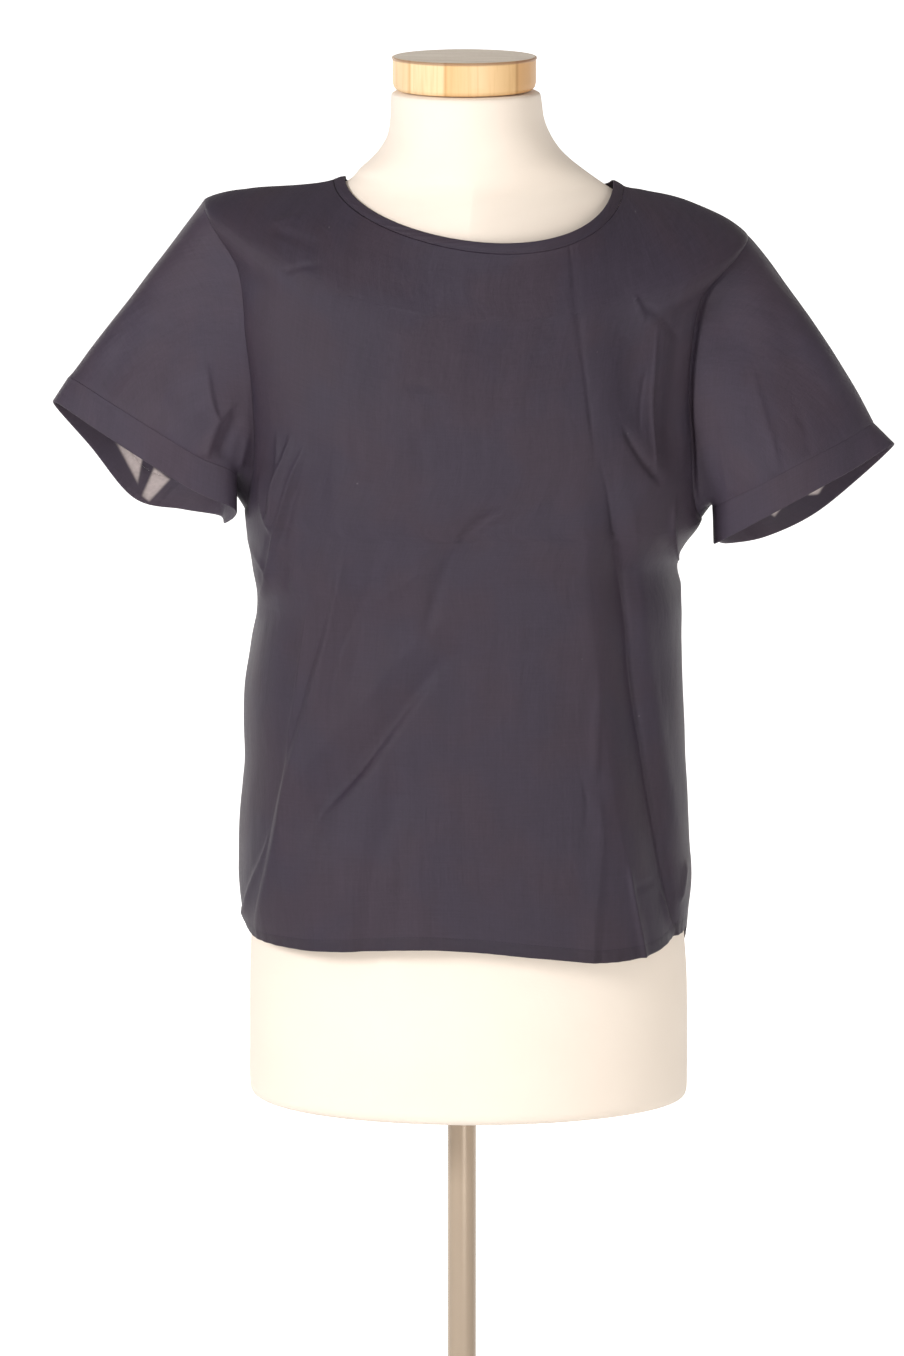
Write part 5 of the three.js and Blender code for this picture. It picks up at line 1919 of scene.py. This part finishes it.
# ---------- what wears it ----------
@dataclass
class DressForm:
    """The limbless jersey-covered form.

    Fields: its cover's finish, its columns and its rows for each row of the form's table.
    """

    jersey: bpy.types.Material
    columns: int = 200
    steps: int = 6

    def build(self) -> None:
        """Make and dress the form."""
        keys = FORM_LEVELS.keys
        inner = np.arange(self.steps) / self.steps
        z = np.concatenate([a + (b - a) * inner for a, b in zip(keys, keys[1:])] + [keys[-1:]])
        turn = np.linspace(0, 2 * math.pi, self.columns, endpoint=False)
        c, f = np.cos(turn), np.sin(turn)
        names = ("cx", "half", "yf", "yb", "n")
        cx, half, yf, yb, n = (FORM_LEVELS.at(name, z)[:, None] for name in names)
        x = cx + half * np.sign(c) * np.abs(c) ** (2 / n)
        y = np.where(f < 0, yf, yb) * np.abs(f) ** (2 / n)
        rings = np.stack(np.broadcast_arrays(x, y, z[:, None]), -1)
        round_about = lengths_along(wrapped(rings), 1)
        up = np.repeat(z[:, None], self.columns + 1, 1)
        piece = stacked("dress_form_jersey", rings, np.stack([round_about, up], -1) * MM)
        settle(piece, self.jersey, Slot.JERSEY, "dress_form")


@dataclass
class Stand:
    """The wooden neck cap, the pole and the round base.

    Fields: their finishes, the X of the cap's axis and of the pole's and base's, and the
    radii of the pole and the base, in millimetres.
    """

    wood: bpy.types.Material
    tube: bpy.types.Material
    plate: bpy.types.Material
    cap_x: float = -1.2
    pole_x: float = -3.0
    pole_radius: float = 11.6
    base_radius: float = 160.0

    def build(self) -> None:
        """Make and dress the three pieces."""
        cap = rounded((
            (0.5, 1472.3), (48, 1472.3), (53.5, 1473.4), (56, 1476), (56.8, 1480), (56.8, 1497.4),
            (57.4, 1498), (57.4, 1499.4), (56.2, 1500), (0.5, 1500),
        ), 1.2)
        settle(turned("neck_cap_wood", cap, self.cap_x, 160), self.wood, Slot.WOOD, "neck_cap")
        low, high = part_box("pole")
        foot, head, radius = low.z / MM, high.z / MM, self.pole_radius
        tube = rounded(((0.5, foot), (radius, foot), (radius, head), (0.5, head)), 0.8)
        settle(turned("pole_tube", tube, self.pole_x, 96), self.tube, Slot.POLE, "pole")
        radius = self.base_radius
        profile = rounded((
            (0.5, 0), (radius - 2, 0), (radius, 2), (radius, 8), (radius - 5, 12), (23, 12),
            (19, 16), (19, 50), (17, 52), (11.9, 52), (11.9, 12), (0.5, 12),
        ), 1.6)
        base = turned("stand_base_plate", profile, self.pole_x, 180)
        settle(base, self.plate, Slot.BASE, "stand_base")


# ---------- the studio ----------
@dataclass(frozen=True)
class SoftLight:
    """A square soft light aimed at the chest.

    Fields: its name, its place and its side's length in metres, its power in watts and
    its tint.
    """

    name: str
    place: tuple[float, float, float]
    size: float
    power: float
    tint: Colour
    chest: tuple[float, float, float] = (0.0, 0.0, 1.1)

    def hang(self) -> None:
        """Hang the light in the studio."""
        lamp = bpy.data.lights.new(self.name, "AREA")
        lamp.size, lamp.energy, lamp.color = self.size, self.power, self.tint
        made = placed(self.name, lamp)
        made.location = self.place
        aim = np.array(self.chest) - np.array(self.place)
        flat = math.hypot(aim[0], aim[1])
        made.rotation_euler = (math.atan2(flat, -aim[2]), 0, math.atan2(-aim[0], aim[1]))


@dataclass
class Studio:
    """A plain pale floor, soft studio light and the camera.

    Fields: the camera's place in metres, how many degrees it looks down, its lens and
    sensor in millimetres, half the floor's side in metres, the sky's strength in front of
    the part and behind it, its tint, the way to its brightest part, and the lights.
    """

    camera_place: tuple[float, float, float] = (-0.011, -6.5, 2.149)
    pitch: float = 10.02
    lens: float = 218.7
    sensor: float = 36.0
    floor_half: float = 150.0
    sky_front: float = 0.42
    sky_back: float = 2.0
    sky_tint: Colour = (1.0, 0.965, 0.925)
    sky_way: tuple[float, float, float] = (-0.12, 0.98, -0.7)
    lights: tuple[SoftLight, ...] = (
        SoftLight("key", (-3.2, -3.4, 2.9), 1.2, 158.0, (0.985, 0.985, 1.0)),
        SoftLight("fill", (1.7, -4.9, 1.1), 2.2, 87.0, (1.0, 0.985, 0.97)),
        SoftLight("right_rim", (-2.9, 4.0, 1.7), 1.2, 26.0, (1.0, 0.97, 0.94)),
        SoftLight("left_rim", (3.1, 3.9, 1.7), 1.2, 12.0, (1.0, 0.97, 0.94)),
    )

    def build(self) -> None:
        """Make the floor, the lights, the sky and the camera."""
        self.floor()
        for light in self.lights:
            light.hang()
        self.sky()
        self.camera()
        bpy.context.scene.view_settings.view_transform = "Standard"

    def floor(self) -> None:
        """A very wide pale floor at the part's foot."""
        half = self.floor_half
        mesh = bpy.data.meshes.new("studio_floor")
        corners = [(-half, -half, 0), (half, -half, 0), (half, half, 0), (-half, half, 0)]
        mesh.from_pydata(corners, [], [(0, 1, 2, 3)])
        g = Graph.of_material("studio_floor")
        _, y, _ = g.parts(g.place("Object"))
        glow = g.blend(y.between(0.3, 1.6), (0.3, 0.3, 0.3), (1.0, 1.0, 1.0))
        mesh.materials.append(g.finish(g.principled(
            Base_Color=(0.86, 0.85, 0.84), Roughness=0.9, Specular_IOR_Level=0.0,
            Emission_Color=glow, Emission_Strength=0.95,
        )))
        placed("studio_floor", mesh)

    def sky(self) -> None:
        """Plain white surroundings, brightest behind the part."""
        g = Graph(bpy.data.worlds.new("studio"))
        ways = {0: g.place("Generated"), 1: self.sky_way}
        behind = g.node("ShaderNodeVectorMath", {"operation": "DOT_PRODUCT"}, ways, "Value")
        strength = self.sky_front + behind.between(0.55, 1.0) * (self.sky_back - self.sky_front)
        shade = g.node("ShaderNodeBackground", None, {"Color": self.sky_tint, "Strength": strength})
        bpy.context.scene.world = g.finish(shade, "ShaderNodeOutputWorld")

    def camera(self) -> None:
        """The camera, level and straight ahead but for its pitch."""
        data = bpy.data.cameras.new("camera")
        data.lens, data.sensor_width, data.clip_end = self.lens, self.sensor, 400.0
        made = placed("camera", data)
        made.location = self.camera_place
        made.rotation_euler = (math.radians(90 - self.pitch), 0, 0)
        bpy.context.scene.camera = made


def main() -> None:
    """Build the blouse, what wears it and the studio."""
    logging.basicConfig(level=logging.INFO, format="%(name)s %(message)s")
    Studio().build()
    DressForm(Jersey().material("cream_jersey")).build()
    Stand(
        PineBlock().material("pine_block"),
        PolishedSteel().material("polished_steel"),
        SatinSteel().material("satin_steel"),
    ).build()
    Blouse(
        Poplin(hem=HEM_DEPTH * MM).material("navy_poplin_body"),
        # Painted light: the sleeves and cuffs take a copy of the same cloth about a fifth lighter than
        # the body's.
        Poplin(
            navy=(0.0482, 0.0374, 0.0556), plum=(0.0515, 0.0378, 0.0535), thin=THIN_PLACES,
        ).material("navy_poplin_sleeve"),
        Poplin().material("navy_poplin"),
        Thread().material("navy_thread"),
    ).build()


if __name__ == "__main__":
    main()
